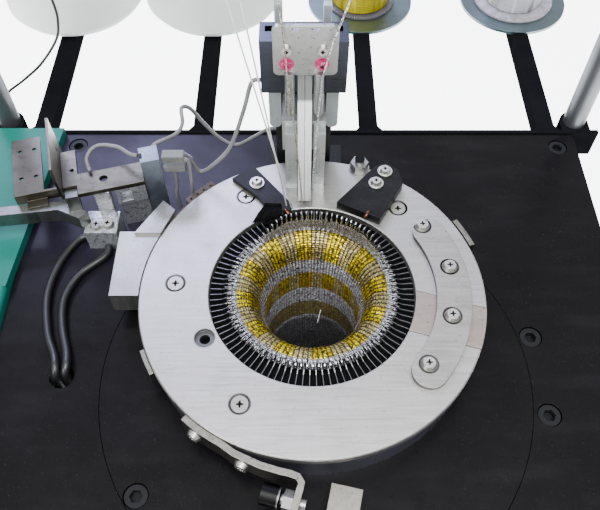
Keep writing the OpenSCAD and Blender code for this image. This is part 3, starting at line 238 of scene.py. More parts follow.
def ground_steel(name, colour, rough=0.42, stretch=(25, 700, 700), stain=0.12, edge=0.4,
                 metallic=1.0, marks=(), shade_above=None, grain_bump=0.12, wall=None):
    """Steel with a sanded grain and stains; a mark is a ring: place, radius, width and colour.
    Marks serve for painted shade round screws, a ring round the oil hole and lacquer; painted shade
    can also darken all above a height and the steep walls.
    """
    s = Shade(name)
    grain = s.noise(1.0, 4.0, 0.7, s.stretched(stretch))
    cloud = s.noise(38, 5.0, 0.62)
    stains = s.span(s.noise(420, 2.0, 0.5), 0.62, 0.72)
    base = s.mix(s.span(grain, 0.3, 0.7), tone(colour, 0.9), tone(colour, 1.08))
    base = s.mix(s.span(cloud, 0.45, 0.75, 0, stain * 2), base, tone(colour, 0.62))
    base = s.mix(s.math("MULTIPLY", stains, stain * 2), base, tone(colour, 0.35))
    shine = s.math("ADD", s.span(grain, 0.3, 0.7, rough - 0.07, rough + 0.07),
                   s.span(cloud, 0.4, 0.7, -0.03, 0.09))
    for place, radius, width, mark_colour in marks:
        off = s.math("ABSOLUTE", s.math("SUBTRACT", s.near(place), radius))
        mask = s.math("MULTIPLY", s.span(off, width * 0.55, width, 1, 0),
                      s.span(cloud, 0.3, 0.6, 0.7, 1))
        base = s.mix(mask, base, mark_colour)
    # Painted shade: the part above a given height is darker
    if shade_above is not None:
        upper_shade = s.span(s.height(), shade_above - 1.5 * MM, shade_above + 1.5 * MM)
        base = s.mix(upper_shade, base, tone(colour, 0.2))
    # Painted shade: steep walls are darker than the top
    if wall is not None:
        base = s.mix(s.steep(), base, tone(colour, wall))
    return s.set(Base_Color=base, Roughness=shine, Metallic=metallic,
                 Normal=s.bump(grain, grain_bump, 0.15 * MM, s.edge(edge * MM))).material


def painted(name, colour, rough=0.4, dust=0.0, edge=0.5, gloss=0.5, haze_and_sheen=None):
    """Paint with a faint orange peel, dust and a painted reflection: a place, its reach and its
    colour.
    """
    s = Shade(name)
    cloud = s.noise(9, 4.0, 0.6)
    fine = s.noise(1400, 2.0, 0.5)
    base = s.mix(s.span(cloud, 0.35, 0.65), tone(colour, 0.9), tone(colour, 1.12))
    if dust:
        specks = s.span(s.noise(950, 1.0, 0.4), 0.70, 0.76)
        wipe = s.span(s.noise(1.0, 4.0, 0.6, s.stretched((14, 55, 20))), 0.5, 0.72)
        base = s.mix(s.math("MULTIPLY", specks, dust), base, (0.35, 0.35, 0.36, 1))
        base = s.mix(s.math("MULTIPLY", wipe, dust * 0.14), base, (0.3, 0.3, 0.32, 1))
    # Painted reflection: a tinted glow near a place that fades with distance
    if haze_and_sheen is not None:
        place, reach, sheen_colour = haze_and_sheen
        base = s.mix(s.span(s.near(place), reach * 0.3, reach, 0.9, 0), base, sheen_colour)
    shine = s.span(s.noise(26, 5.0, 0.65), 0.3, 0.7, rough - 0.06, rough + 0.09)
    return s.set(Base_Color=base, Roughness=shine, Specular_IOR_Level=gloss,
                 Normal=s.bump(fine, 0.08, 0.1 * MM, s.edge(edge * MM))).material


def cast_metal(name, colour, rough, grain=520):
    """Cast surface with a sandy skin."""
    s = Shade(name)
    sand = s.noise(grain, 4.0, 0.7)
    cloud = s.noise(30, 4.0, 0.6)
    base = s.mix(s.span(sand, 0.35, 0.7), tone(colour, 0.45), tone(colour, 1.15))
    base = s.mix(s.span(s.noise(grain * 0.4, 2.0), 0.58, 0.66, 0, 0.6), base, tone(colour, 0.2))
    base = s.mix(s.span(cloud, 0.5, 0.75, 0, 0.35), base, tone(colour, 0.5))
    return s.set(Base_Color=base, Roughness=s.span(sand, 0.3, 0.7, rough - 0.1, rough + 0.12),
                 Metallic=0.8,
                 Normal=s.bump(sand, 0.35, 0.25 * MM, s.edge(0.6 * MM))).material


def rusted(name):
    """Old toothed strip: brown rust over dull steel."""
    s = Shade(name)
    patch = s.noise(160, 6.0, 0.7)
    grit = s.noise(1300, 3.0, 0.6)
    base = s.mix(s.span(patch, 0.4, 0.62), (0.036, 0.023, 0.018, 1), (0.065, 0.054, 0.048, 1))
    base = s.mix(s.span(grit, 0.45, 0.7, 0, 0.6), base, (0.015, 0.009, 0.007, 1))
    return s.set(Base_Color=base, Roughness=s.span(patch, 0.4, 0.6, 0.85, 0.55),
                 Metallic=s.span(patch, 0.45, 0.65, 0.1, 0.7),
                 Normal=s.bump(grit, 0.6, 0.3 * MM)).material


def sheath(name, colour, rough=0.5):
    """Cable sheath or belt rubber with fine wrinkles."""
    s = Shade(name)
    fine = s.noise(700, 3.0, 0.6)
    base = s.mix(s.span(s.noise(60), 0.35, 0.7), tone(colour, 0.8), tone(colour, 1.25))
    return s.set(Base_Color=base, Roughness=s.span(fine, 0.3, 0.7, rough - 0.08, rough + 0.12),
                 Normal=s.bump(fine, 0.12, 0.1 * MM)).material


def moulded(name, colour):
    """Glossy moulded plastic of a push button."""
    s = Shade(name)
    fine = s.noise(900, 2.0, 0.5)
    base = s.mix(s.span(s.noise(40), 0.3, 0.7), tone(colour, 0.92), tone(colour, 1.06))
    return s.set(Base_Color=base, Roughness=s.span(fine, 0.3, 0.7, 0.2, 0.35),
                 Normal=s.bump(fine, 0.05, 0.05 * MM, s.edge(0.8 * MM))).material


def spun_yarn(name, colour, glitter=0.0):
    """Yarn, plain or with metallic sparkle painted on as white highlights and dark flecks."""
    s = Shade(name)
    twist = s.noise(2600, 3.0, 0.6)
    base = s.mix(s.span(twist, 0.3, 0.7), tone(colour, 0.5), tone(colour, 1.15))
    if glitter:
        # Painted sparkle: white highlights in the brightest cells, dark flecks in the lowest
        spark = s.cells(1700.0)[0]
        base = s.mix(s.span(spark, 0.74, 0.92, 0, glitter), base, (1, 1, 1, 1))
        base = s.mix(s.span(spark, 0.55, 0.3, 0, glitter), base, tone(colour, 0.06))
    return s.set(Base_Color=base, Roughness=0.45 if glitter else 0.75,
                 Metallic=0.55 if glitter else 0.0, Sheen_Weight=0.3,
                 Normal=s.bump(twist, 0.4, 0.2 * MM)).material


def wound_yarn(name, colour, winds, glitter=0.0, tilt=0.0):
    """Yarn wound on a package: close turns round the upright axis, uneven by their tilt; metallic
    yarn gets painted highlight and shade streaks.
    """
    s = Shade(name)
    turns = s.add("TexWave", {"Vector": s.coords, "Scale": winds, "Distortion": 1.5 + tilt,
                              "Detail": 2.0, "Detail Scale": 1.2},
                  wave_type="BANDS", bands_direction="Z").outputs["Fac"]
    fuzz = s.noise(1500, 3.0, 0.6)
    base = s.mix(s.span(turns, 0.0, 0.8), tone(colour, 0.62), tone(colour, 1.06))
    base = s.mix(s.span(fuzz, 0.4, 0.7, 0, 0.25), base, tone(colour, 0.7))
    if glitter:
        # Painted highlights and painted shade: upright streaks of the winding lightened and
        # darkened
        sheen_streak = s.noise(1.0, 3.0, 0.6, s.stretched((150, 150, 9)))
        base = s.mix(s.span(sheen_streak, 0.56, 0.7, 0, glitter), base, tone(colour, 2.2))
        base = s.mix(s.span(sheen_streak, 0.46, 0.34, 0, 0.75), base, tone(colour, 0.3))
    return s.set(Base_Color=base, Roughness=0.34 if glitter else 0.8,
                 Metallic=0.6 if glitter else 0.0, Sheen_Weight=0.0 if glitter else 0.25,
                 Normal=s.bump(turns, 0.5, 0.3 * MM)).material


def clear_plastic(name, colour):
    """Thin clear flange of a spool."""
    s = Shade(name)
    haze_and_sheen = s.noise(120, 3.0, 0.5)
    return s.set(Base_Color=s.mix(haze_and_sheen, tone(colour, 0.75), tone(colour, 1.3)),
                 Roughness=s.span(haze_and_sheen, 0.3, 0.7, 0.12, 0.3), IOR=1.49,
                 Alpha=s.span(haze_and_sheen, 0.3, 0.7, 0.35, 0.5)).material


def screw_metal(name, colour, slots):
    """Nickel screws with dark spots, painted shade in their slots and the black of bolt ends; those
    at one height wear a seal of pink lacquer.
    """
    s = Shade(name)
    grain = s.noise(900, 3.0, 0.6)
    base = s.mix(s.span(grain, 0.3, 0.7), tone(colour, 0.85), tone(colour, 1.1))
    away = s.math("ABSOLUTE", s.math("SUBTRACT", s.height(), RING_TOP + SEALED_SCREWS * MM))
    lacquer = s.math("LESS_THAN", away, 6 * MM)
    worn = s.math("MULTIPLY", lacquer, s.span(s.noise(600, 3.0), 0.3, 0.42))
    base = s.mix(worn, base, PINK_LACQUER)
    # Dark spots: painted shade in slots, and the black of bolt ends
    for place, radius in slots:
        slot_shade_and_black = s.span(s.near(place), radius * 0.9, radius, 1, 0)
        base = s.mix(slot_shade_and_black, base, SHADE_AND_BLACK)
    return s.set(Base_Color=base, Roughness=s.span(grain, 0.3, 0.7, 0.26, 0.42),
                 Metallic=s.math("SUBTRACT", 1.0, s.math("MULTIPLY", worn, 0.85)),
                 Normal=s.bump(grain, 0.08, 0.1 * MM, s.edge(0.35 * MM))).material


# The knit's pattern: run from the rim to the first gold band, height of a row of stitches,
# pairs of a gold and a pale block round a band
FIRST_BAND = 2.6 * MM
STITCH_ROW = 1.9 * MM
BLOCK_PAIRS = 12
DEEP_SHADE = (0.02, 0.018, 0.018, 1)


def gold_bands(s, run, sizes):
    """Masks of the three gold bands down the tube."""
    second = sizes.gold_run + sizes.silver_run
    third = second + sizes.gold_run + sizes.silver_run * 1.08
    bands = []
    for start, length in ((FIRST_BAND, sizes.gold_run * 1.15), (second, sizes.gold_run),
                          (third, sizes.gold_run)):
        bands.append(s.math("MULTIPLY", s.math("GREATER_THAN", run, start),
                            s.math("LESS_THAN", run, start + length)))
    return bands


def gold_blocks(s, column, needles):
    """Mask of the gold blocks round a band, with ragged sides."""
    place = s.math("FRACT", s.math("DIVIDE", s.math("ADD", column, 0.25), needles / BLOCK_PAIRS))
    ragged = s.math("MULTIPLY", s.math("SUBTRACT", s.noise(300, 1.0), 0.5), 0.22)
    return s.math("LESS_THAN", s.math("ADD", place, ragged), 0.54)


def gold_knit(s, run, spark, gold):
    """Bright gold with painted highlights, turning to a painted brown shade further down the tube.
    """
    base = s.mix(s.span(spark, 0.1, 0.7), tone(gold, 0.1), tone(gold, 1.15))
    # Painted highlights: the brightest sparkle cells turn pale yellow
    base = s.mix(s.span(spark, 0.88, 0.96), base, (0.95, 0.8, 0.02, 1))
    # Painted shade: further down the tube the gold darkens to brown
    return s.mix(s.span(run, 40 * MM, 58 * MM, 0, 0.6), base, (0.16, 0.075, 0.006, 1))


def silver_knit(s, spark, hue, small, silver):
    """Silver with painted glints: white highlights and blue and pink sparkles."""
    base = s.mix(s.span(spark, 0.1, 0.8), (0.15, 0.142, 0.172, 1), tone(silver, 0.95))
    # Painted highlights: white glints, then blue and pink ones
    base = s.mix(s.span(small, 0.86, 0.94), base, (1, 1, 1, 1))
    base = s.mix(s.span(hue, 0.9, 0.97, 0, 0.4), base, (0.2, 0.5, 0.55, 1))
    return s.mix(s.span(hue, 0.12, 0.04, 0, 0.45), base, (0.6, 0.3, 0.45, 1))


def knitted(name, sizes):
    """Metallic knit: u counts the columns of stitches, v is the run down the tube in metres."""
    s = Shade(name)
    chart = s.add("UVMap", uv_map="stitches").outputs["UV"]
    parts = s.add("SeparateXYZ", {"Vector": chart})
    column, run = parts.outputs["X"], parts.outputs["Y"]
    spark, hue, pick = s.cells(760.0)
    small = s.cells(1500.0)[0]
    first, second, third = gold_bands(s, run, sizes)
    in_band = s.math("ADD", s.math("ADD", first, second), third, clamp=True)
    inward = s.span(run, 25 * MM, 70 * MM)
    ridge = s.math("ABSOLUTE", s.math("SINE", s.math("MULTIPLY", column, math.pi)))
    row = s.math("FRACT", s.math("DIVIDE", run, STITCH_ROW))
    gold = gold_knit(s, run, spark, sizes.gold)
    silver = silver_knit(s, spark, hue, small, sizes.silver)
    pale = s.mix(s.span(spark, 0.1, 0.9), (0.15, 0.118, 0.04, 1), (0.43, 0.36, 0.135, 1))
    # Painted highlights: pale yellow glints on the pale blocks
    pale = s.mix(s.span(small, 0.9, 0.96), pale, (0.8, 0.7, 0.4, 1))
    # Painted shade: the third gold band, deep in the tube, is painted dark olive
    olive = s.mix(s.span(spark, 0.1, 0.8), (0.1, 0.075, 0.024, 1), (0.34, 0.27, 0.085, 1))
    band = s.mix(gold_blocks(s, column, sizes.needles), pale, gold)
    base = s.mix(in_band, silver, s.mix(third, band, olive))
    # Painted shade: the knit darkens further down the tube
    base = s.mix(s.span(run, 52 * MM, 75 * MM, 0, 0.35), base, (0.02, 0.018, 0.022, 1))
    base = s.mix(s.span(run, 112 * MM, 118 * MM, 0, 0.72), base, DEEP_SHADE)
    base = s.mix(s.span(pick, 0.2, 0.08, 0, 0.8), base, (0.012, 0.011, 0.012, 1))
    # Painted shade: the furrows between the columns of stitches are darkened
    furrow = s.math("MULTIPLY", s.span(ridge, 0.25, 0.8, 0.9, 0.0),
                    s.span(inward, 0.0, 1.0, 1.0, 0.6))
    base = s.mix(furrow, base, DEEP_SHADE)
    stitch = s.math("MULTIPLY", s.math("SINE", s.math("MULTIPLY", row, math.pi)), 0.6)
    height = s.math("ADD", s.math("ADD", ridge, stitch), s.math("MULTIPLY", spark, 0.7))
    return s.set(Base_Color=base, Roughness=s.span(spark, 0.0, 1.0, 0.5, 0.24),
                 Metallic=s.span(inward, 0.0, 1.0, 0.92, 0.2),
                 Normal=s.bump(height, 0.8, 0.5 * MM)).material


# Building meshes


def make_piece(name, shape, material, body, replaced=(), smooth=True, uvs=None):
    """A piece from points and faces that rides on a body and stands for the nodes it replaces."""
    points, faces = shape
    mesh = bpy.data.meshes.new(name)
    mesh.from_pydata([tuple(p) for p in points], [], [tuple(f) for f in faces])
    mesh.validate()
    mesh.update()
    if smooth:
        mesh.polygons.foreach_set("use_smooth", [True] * len(mesh.polygons))
    if uvs is not None:
        layer = mesh.uv_layers.new(name="stitches")
        layer.data.foreach_set("uv", np.asarray(uvs, float).ravel())
    mesh.materials.append(material)
    piece = bpy.data.objects.new(name, mesh)
    bpy.context.scene.collection.objects.link(piece)
    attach(piece, body)
    if replaced:
        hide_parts(*replaced)
    return piece


def spline(points, steps):
    """Smooth points through a given route."""
    out, last = [], len(points) - 1
    for i in range(last):
        a, b = points[max(i - 1, 0)], points[i]
        c, d = points[i + 1], points[min(i + 2, last)]
        for k in range(steps):
            t = k / steps
            out.append(0.5 * (2 * b + t * (c - a) + t * t * (2 * a - 5 * b + 4 * c - d)
                              + t ** 3 * (3 * b - a - 3 * c + d)))
    return out + [points[-1]]


def tube(route, radius, sides=12):
    """Points and faces of a closed round tube along a route; radius may be a list."""
    radii = radius if isinstance(radius, list) else [radius] * len(route)
    points, faces = [], []
    side = None
    for i, p in enumerate(route):
        t = (route[min(i + 1, len(route) - 1)] - route[max(i - 1, 0)]).normalized()
        if side is None:
            side = t.orthogonal().normalized()
        side = (side - t * side.dot(t)).normalized()
        other = t.cross(side)
        for k in range(sides):
            a = 2 * math.pi * k / sides
            points.append(p + radii[i] * (math.cos(a) * side + math.sin(a) * other))
    for i in range(len(route) - 1):
        for k in range(sides):
            m = (k + 1) % sides
            faces.append((i * sides + k, i * sides + m, (i + 1) * sides + m, (i + 1) * sides + k))
    faces.append(tuple(range(sides - 1, -1, -1)))
    faces.append(tuple((len(route) - 1) * sides + k for k in range(sides)))
    return points, faces


def joined(parts):
    """One point list and face list from several."""
    points, faces = [], []
    for more_points, more_faces in parts:
        start = len(points)
        points += more_points
        faces += [tuple(i + start for i in f) for f in more_faces]
    return points, faces


def block(low, size):
    """Points and faces of a box with rounded edges."""
    shape = bmesh.new()
    bmesh.ops.create_cube(shape, size=1.0)
    centre = Vector(low) + Vector(size) / 2
    bmesh.ops.scale(shape, vec=size, verts=shape.verts)
    bmesh.ops.translate(shape, vec=centre, verts=shape.verts)
    bmesh.ops.bevel(shape, geom=shape.edges[:], offset=PLUG_EDGE, segments=2, affect="EDGES")
    shape.verts.index_update()
    points = [v.co.copy() for v in shape.verts]
    faces = [tuple(v.index for v in f.verts) for f in shape.faces]
    shape.free()
    return points, faces


def turned(centre, profile):
    """Points and faces of a closed profile of (radius, height) turned about an upright axis."""
    points, faces = [], []
    rows, steps = len(profile), 96
    for r, z in profile:
        for k in range(steps):
            a = 2 * math.pi * k / steps
            points.append(centre + Vector((r * math.cos(a), r * math.sin(a), z)))
    for i in range(rows):
        j = (i + 1) % rows
        for k in range(steps):
            m = (k + 1) % steps
            faces.append((i * steps + k, i * steps + m, j * steps + m, j * steps + k))
    return points, faces


# The knitted tube: its outline as radius and height in millimetres from the ring's top

TUBE_FACE = [
    (58.4, -1.2), (54, -1.3), (50, -2), (46.6, -3.6), (44.2, -6.4), (41.6, -11), (39.2, -17.5),
    (37.2, -25), (36, -34), (36, -56), (36, -81), (36, -105), (35, -150), (28, -205),
    (20.5, -248)]
TUBE_BACK = [
    (58.4, -2.4), (54.4, -2.6), (51, -3.2), (48.4, -5), (46, -7.6), (43.6, -12), (41.2, -18),
    (39.2, -25), (38, -34), (38, -56), (38, -81), (38, -105), (37, -150), (30, -205),
    (22.5, -248.6)]
POINTS_A_COLUMN = 5
FACE_ROWS, BACK_ROWS = 150, 40
# Radius at which loops leave the tube, and where they end under the needles
LOOP_FOOT = 55.5
LOOP_ENDS = (60.5, 64.5)
# Middle of the raised needles in degrees, the angle either way where their rise starts, the
# angle that it takes, and its height
RAISED_TURN, RAISED_SIDE, RISE_TURN = 78, 58, 28
NEEDLE_LIFT = 13
# Angle either way from that middle in which the lying loops are thinner
THIN_SIDE = 42
YARN_TAIL = [(9, 33.5, -88), (7.5, 31.5, -97), (6.5, 31, -106)]


def resampled(line, count):
    """An outline resampled, closer at its upper rim: radius, height and run from the rim."""
    line = np.array(line)
    run = np.concatenate([[0], np.cumsum(np.hypot(*np.diff(line, axis=0).T))])
    at = run[-1] * (np.linspace(0, 1, count) ** 1.5)
    return np.interp(at, run, line[:, 0]), np.interp(at, run, line[:, 1]), at


def rim_spot(radius, turn, z):
    """A place by its radius in millimetres and its turn in radians round the needles' axis."""
    return spot(radius * math.cos(turn), radius * math.sin(turn), z)


class KNITTER_OT_knitted_tube(bpy.types.Operator):
    """Knit the metallic tube that hangs from the needles"""
    bl_idname = "knitter.knitted_tube"
    bl_label = "Knitted tube"

    def execute(self, context):
        sizes = context.scene.knit_sizes
        steps = POINTS_A_COLUMN * sizes.needles
        angle = 2 * math.pi * np.arange(steps) / steps
        columns = np.arange(steps) / POINTS_A_COLUMN
        ridge = np.abs(np.sin(math.pi * columns))
        points, chart = [], []
        radius, height, run = resampled(TUBE_FACE, FACE_ROWS)
        lean = np.arctan2(np.gradient(height), np.gradient(radius))
        for r, z, v, a in zip(radius, height, run, lean):
            stitch = 0.5 + 0.5 * abs(math.sin(math.pi * v * MM / (2 * STITCH_ROW)))
            depth = (1.0 - ridge * stitch) * sizes.rib / MM * min(1, 0.3 + v / 4)
            away = r - math.sin(a) * depth
            points.append(np.stack([away * np.cos(angle), away * np.sin(angle),
                                    z + math.cos(a) * depth], -1))
            chart.append(v)
        radius, height, run = resampled(TUBE_BACK, BACK_ROWS)
        for r, z, v in zip(radius[::-1], height[::-1], run[::-1]):
            points.append(np.stack([r * np.cos(angle), r * np.sin(angle),
                                    np.full(steps, z)], -1))
            chart.append(v)
        rings = len(points)
        places = np.concatenate(points) * MM + np.array([AXIS.x, AXIS.y, RING_TOP])
        faces, uvs = [], []
        for i in range(rings):
            j = (i + 1) % rings
            for k in range(steps):
                m = (k + 1) % steps
                faces.append((i * steps + k, j * steps + k, j * steps + m, i * steps + m))
                u0, u1 = columns[k], columns[k] + 1 / POINTS_A_COLUMN
                v0, v1 = chart[i] * MM, chart[j] * MM
                uvs += [(u0, v0), (u0, v1), (u1, v1), (u1, v0)]
        make_piece("knitted_tube", (places, faces), knitted("metallic_knit", sizes), TURNING,
                   ["fabric_tube"], uvs=uvs)
        return {"FINISHED"}


def lying_loops(needles, dice):
    """Short loops from the tube's rim out to the needles, thinner where the needles rise."""
    parts = []
    count = POINTS_A_COLUMN * needles // 2
    for i in range(count):
        turn = 2 * math.pi * (i + dice.uniform(-0.3, 0.3)) / count
        behind = abs(math.degrees(turn) - RAISED_TURN) < THIN_SIDE
        if behind and dice.random() < 0.75:
            continue
        swing = dice.uniform(-0.02, 0.02)
        route = []
        reach = dice.uniform(*LOOP_ENDS)
        for k in range(4):
            r = LOOP_FOOT + (reach - LOOP_FOOT) * k / 3
            z = -1.5 + 1.6 * math.sin(math.pi * (k + 0.5) / 4) + dice.uniform(-0.2, 0.3)
            route.append(rim_spot(r, turn + swing * k / 3, z))
        parts.append(tube(route, 0.3 * MM, sides=4))
    return joined(parts)


def raised_loops(needles, dice):
    """Loops drawn up by the needles that rise to take the yarn."""
    parts = []
    count = POINTS_A_COLUMN * needles
    for i in range(count):
        turn = 360 * i / count
        climb = NEEDLE_LIFT * min(1, max(0, (RAISED_SIDE - abs(turn - RAISED_TURN)) / RISE_TURN))
        if climb < 3:
            continue
        a = math.radians(turn) + dice.uniform(-0.004, 0.004)
        top = climb * dice.uniform(0.5, 0.68)
        rise = ((LOOP_FOOT, -0.9), (57.6, 0.2), (58.5, top * 0.5), (58.7, top))
        parts.append(tube([rim_spot(r, a, z) for r, z in rise], 0.34 * MM, sides=4))
    return joined(parts)


class KNITTER_OT_top_loops(bpy.types.Operator):
    """Lay the loops between the needles and the tube's rim, and the tail inside the tube"""
    bl_idname = "knitter.top_loops"
    bl_label = "Loops on the needles"

    def execute(self, context):
        sizes = context.scene.knit_sizes
        dice = random.Random(7)
        make_piece("needle_loops", lying_loops(sizes.needles, dice),
                   spun_yarn("sparkling_yarn", tone(sizes.silver, 0.6), glitter=0.95), TURNING)
        # The raised loops at the rear are painted dark olive: painted shade over the yarn
        make_piece("raised_loops", raised_loops(sizes.needles, dice),
                   spun_yarn("shaded_olive_yarn", (0.085, 0.065, 0.026, 1), glitter=0.3), TURNING)
        make_piece("yarn_tail", tube(spline(spots(YARN_TAIL), 6), 0.45 * MM, sides=6),
                   spun_yarn("white_tail", (0.9, 0.9, 0.88, 1)), TURNING)
        return {"FINISHED"}


# Cables and yarns: the routes are those of the solids, in millimetres from the centre of the
# ring's top

GREY_ROUTES = [
    [(-125.5, 108.6, 33), (-122, 113, 35), (-108, 125, 33), (-104, 138, 32), (-105, 149, 38),
     (-99, 154, 33), (-90, 156, 14), (-78, 156, -4), (-64, 154, -10), (-48, 150, 4),
     (-36, 146, 17), (-28.4, 146, 18)],
    [(-98.8, 102, 35), (-95, 104, 28), (-92, 105.5, 14), (-88, 106, 10), (-79.9, 105, 17),
     (-63, 105, 39), (-50, 104.5, 78), (-43, 106, 103), (-36.3, 106, 106)],
    [(-174, 95.4, 22.2), (-177, 105, 27), (-170, 115, 30), (-154, 114, 30), (-143, 105, 32),
     (-135.6, 102, 33)],
    [(-98.8, 97.2, 35), (-95.3, 97.2, 31), (-95.6, 97.2, 16), (-97, 98, -4), (-98, 100, -20),
     (-98, 104, -34)],
    [(-109, 99, 21.7), (-108, 99, 12), (-109, 99, 0), (-111, 100, -12), (-110, 102, -34)],
]
BLACK_ROUTES = [
    [(-182.3, 72, -32), (-192, 68, -32), (-203, 45, -32), (-207, 15, -32), (-200, -18, -31),
     (-191, -38, -30), (-188, -47, -29), (-187.4, -52, -32), (-187.4, -53.5, -40),
     (-187.4, -53.5, -54), (-190, -54, -72), (-202, -55, -90), (-222, -55, -97),
     (-237.8, -55, -97)],
    [(-166, 61.5, -32), (-167, 52, -32), (-185, 34, -32), (-193, 12, -32), (-190, -12, -31),
     (-182, -36, -30), (-180, -46, -29), (-180.6, -51, -32), (-180.6, -52.5, -40),
     (-180.6, -52.5, -54), (-183, -50, -72), (-196, -46, -90), (-220, -44, -97),
     (-237.8, -44, -97)],
]
THIN_WIRE = [
    (-282, 220.4, -30), (-281, 222, -14), (-262, 223, 1), (-240, 223, 20), (-219.7, 222.5, 45),
    (-212, 222, 63), (-210, 222, 87), (-216, 221, 150), (-235, 221, 240), (-252, 221, 360),
    (-260, 219, 520), (-261, 214, 680), (-261, 208, 713.8)]
PLUGS = [(-115.6, 95, 32), (-115.6, 95, 21.5)]
PLUG_SIZE = (17, 9, 6)
PLUG_EDGE = 0.6 * MM
GREY_RADIUS, BLACK_RADIUS, WIRE_RADIUS = 1.6 * MM, 3.2 * MM, 1.2 * MM


class KNITTER_OT_cables(bpy.types.Operator):
    """Run the grey sensor cables, the black power cables and the thin wire"""
    bl_idname = "knitter.cables"
    bl_label = "Cables"

    def execute(self, context):
        colours = context.scene.finish_colours
        grey = [tube(spline(spots(route), 8), GREY_RADIUS) for route in GREY_ROUTES]
        make_piece("grey_cables", joined(grey), sheath("grey_sheath", colours.cable, 0.42),
                   ROOT, ["sensor_cables"])
        plugs = [block(spot(*p), Vector(PLUG_SIZE) * MM) for p in PLUGS]
        make_piece("cable_plugs", joined(plugs),
                   sheath("grey_plugs", (0.1, 0.105, 0.094, 1), 0.5), ROOT,
                   smooth=False)
        black = [tube(spline(spots(route), 8), BLACK_RADIUS) for route in BLACK_ROUTES]
        black.append(tube(spline(spots(THIN_WIRE), 8), WIRE_RADIUS, sides=8))
        make_piece("black_cables", joined(black),
                   sheath("black_sheath", (0.005, 0.005, 0.006, 1), 0.36), ROOT,
                   ["power_cables"])
        return {"FINISHED"}


# Start and tip of each eyelet
EYELETS = [((-21.2, 71.2, 4.5), (-16.6, 67.4, 2.2)), ((45.5, 67.5, 8), (41.0, 62.6, 4.6))]


class KNITTER_OT_eyelets(bpy.types.Operator):
    """Set the copper yarn eyelets on the ends of the feeder arms"""
    bl_idname = "knitter.eyelets"
    bl_label = "Yarn eyelets"

    def execute(self, context):
        parts = []
        for start, tip in EYELETS:
            a, b = spot(*start), spot(*tip)
            parts.append(tube([a, a.lerp(b, 0.7), b], [1.7 * MM, 1.7 * MM, 1.2 * MM]))
        make_piece("copper_eyelets", joined(parts),
                   ground_steel("copper", (0.13, 0.055, 0.035, 1), 0.3, (300, 300, 300), 0.4), ROOT)
        return {"FINISHED"}


BRUSH_ROD = [(-37, 75.6, 5.2), (-23.5, 74.6, 5.2)]
# The line of the bristles' roots and the line of their tips, which bows
BRUSH_ROOTS = [(-36.5, 75.3, 4.7), (-23.9, 74.3, 4.7)]
BRUSH_TIPS = [(-46, 55.5, 4.2), (-22.5, 62.1, 4.2)]


class KNITTER_OT_brush(bpy.types.Operator):
    """Fan the bristles of the latch brush out from the end of the left feeder arm"""
    bl_idname = "knitter.brush"
    bl_label = "Latch brush"

    def execute(self, context):
        sizes = context.scene.brush_sizes
        dice = random.Random(11)
        parts = [tube(spots(BRUSH_ROD), 1.5 * MM, sides=10)]
        roots, tips = spots(BRUSH_ROOTS), spots(BRUSH_TIPS)
        for i in range(sizes.bristles):
            u = (i + dice.random()) / sizes.bristles
            root = roots[0].lerp(roots[1], u) + Vector((0, 0, 1.1 * MM * dice.random()))
            reach = dice.uniform(0.86, 1.0)
            bow = Vector((0, 3.5 * abs(u - 0.5), 2.2 * dice.random())) * MM
            tip = tips[0].lerp(tips[1], u) + bow
            mid = root.lerp(tip, 0.5) + Vector((0, 0, 0.9 * MM))
            thick = sizes.thickness / 2
            parts.append(tube([root, mid, root.lerp(tip, reach)], [thick, thick, thick * 0.6],
                              sides=4))
        make_piece("latch_brush", joined(parts),
                   painted("brush_hair", (0.0015, 0.0015, 0.0016, 1), 0.6, gloss=0.05), ROOT)
        return {"FINISHED"}


# Each yarn rises from its package to the guide bar and falls from there to the head
YARN_RISE = [
    [(-250, 363, 117.9), (-180, 208.6, 710)], [(-101, 363, 117.9), (-132, 208.6, 710)],
    [(56, 363, 62.9), (-85, 208.6, 710)], [(222, 363, 62.9), (212, 208.6, 710)],
]
YARN_FALL = [
    [(-180, 205.4, 710), (-15.5, 72, 6)],
    [(-132, 205.4, 710), (-19.5, 74, 6)],
    [(-85, 205.4, 710), (-19, 91, 149), (-17.2, 91.3, 118), (-14, 91, 87), (-9.5, 81, 42),
     (-7, 76, 4)],
    [(212, 205.4, 710), (11.9, 91, 149.5), (6, 91.3, 120), (4, 91, 87), (1.5, 81, 42), (0, 76, 4)],
]
# Name, colour, glitter and radius in millimetres
YARN_LOOKS = [
    ("white_yarn_a", (0.92, 0.92, 0.9, 1), 0.0, 0.6),
    ("white_yarn_b", (0.92, 0.92, 0.9, 1), 0.0, 0.6),
    ("gold_yarn", (0.2, 0.16, 0.05, 1), 0.6, 0.5),
    ("silver_yarn", (0.5, 0.5, 0.52, 1), 0.9, 0.6),
]


class KNITTER_OT_yarns(bpy.types.Operator):
    """Lead the four yarns from the creel through the eyes to the head"""
    bl_idname = "knitter.yarns"
    bl_label = "Yarns"

    def execute(self, context):
        for i, (name, colour, glitter, radius) in enumerate(YARN_LOOKS):
            parts = []
            for route in (YARN_RISE[i], YARN_FALL[i]):
                parts.append(tube(spots(route), radius * MM, sides=8))
            make_piece(name, joined(parts), spun_yarn(name, colour, glitter), ROOT,
                       ["yarns"] if i == 0 else ())
        return {"FINISHED"}


# Spools of metallic yarn

SPOOL_BORE, SPOOL_CORE, FLANGE = 5.6 * MM, 7 * MM, 3.2 * MM
RIM = 0.6 * MM
# Node, name, colour of the yarn (or the panel's silver), radius of the winding, flange colour
REELS = [
    ("gold_spool", "gold", (0.5, 0.42, 0.0, 1), 31 * MM, (0.12, 0.115, 0.13, 1)),
    ("clear_spool", "silver", None, 30 * MM, (0.5, 0.48, 0.54, 1)),
]


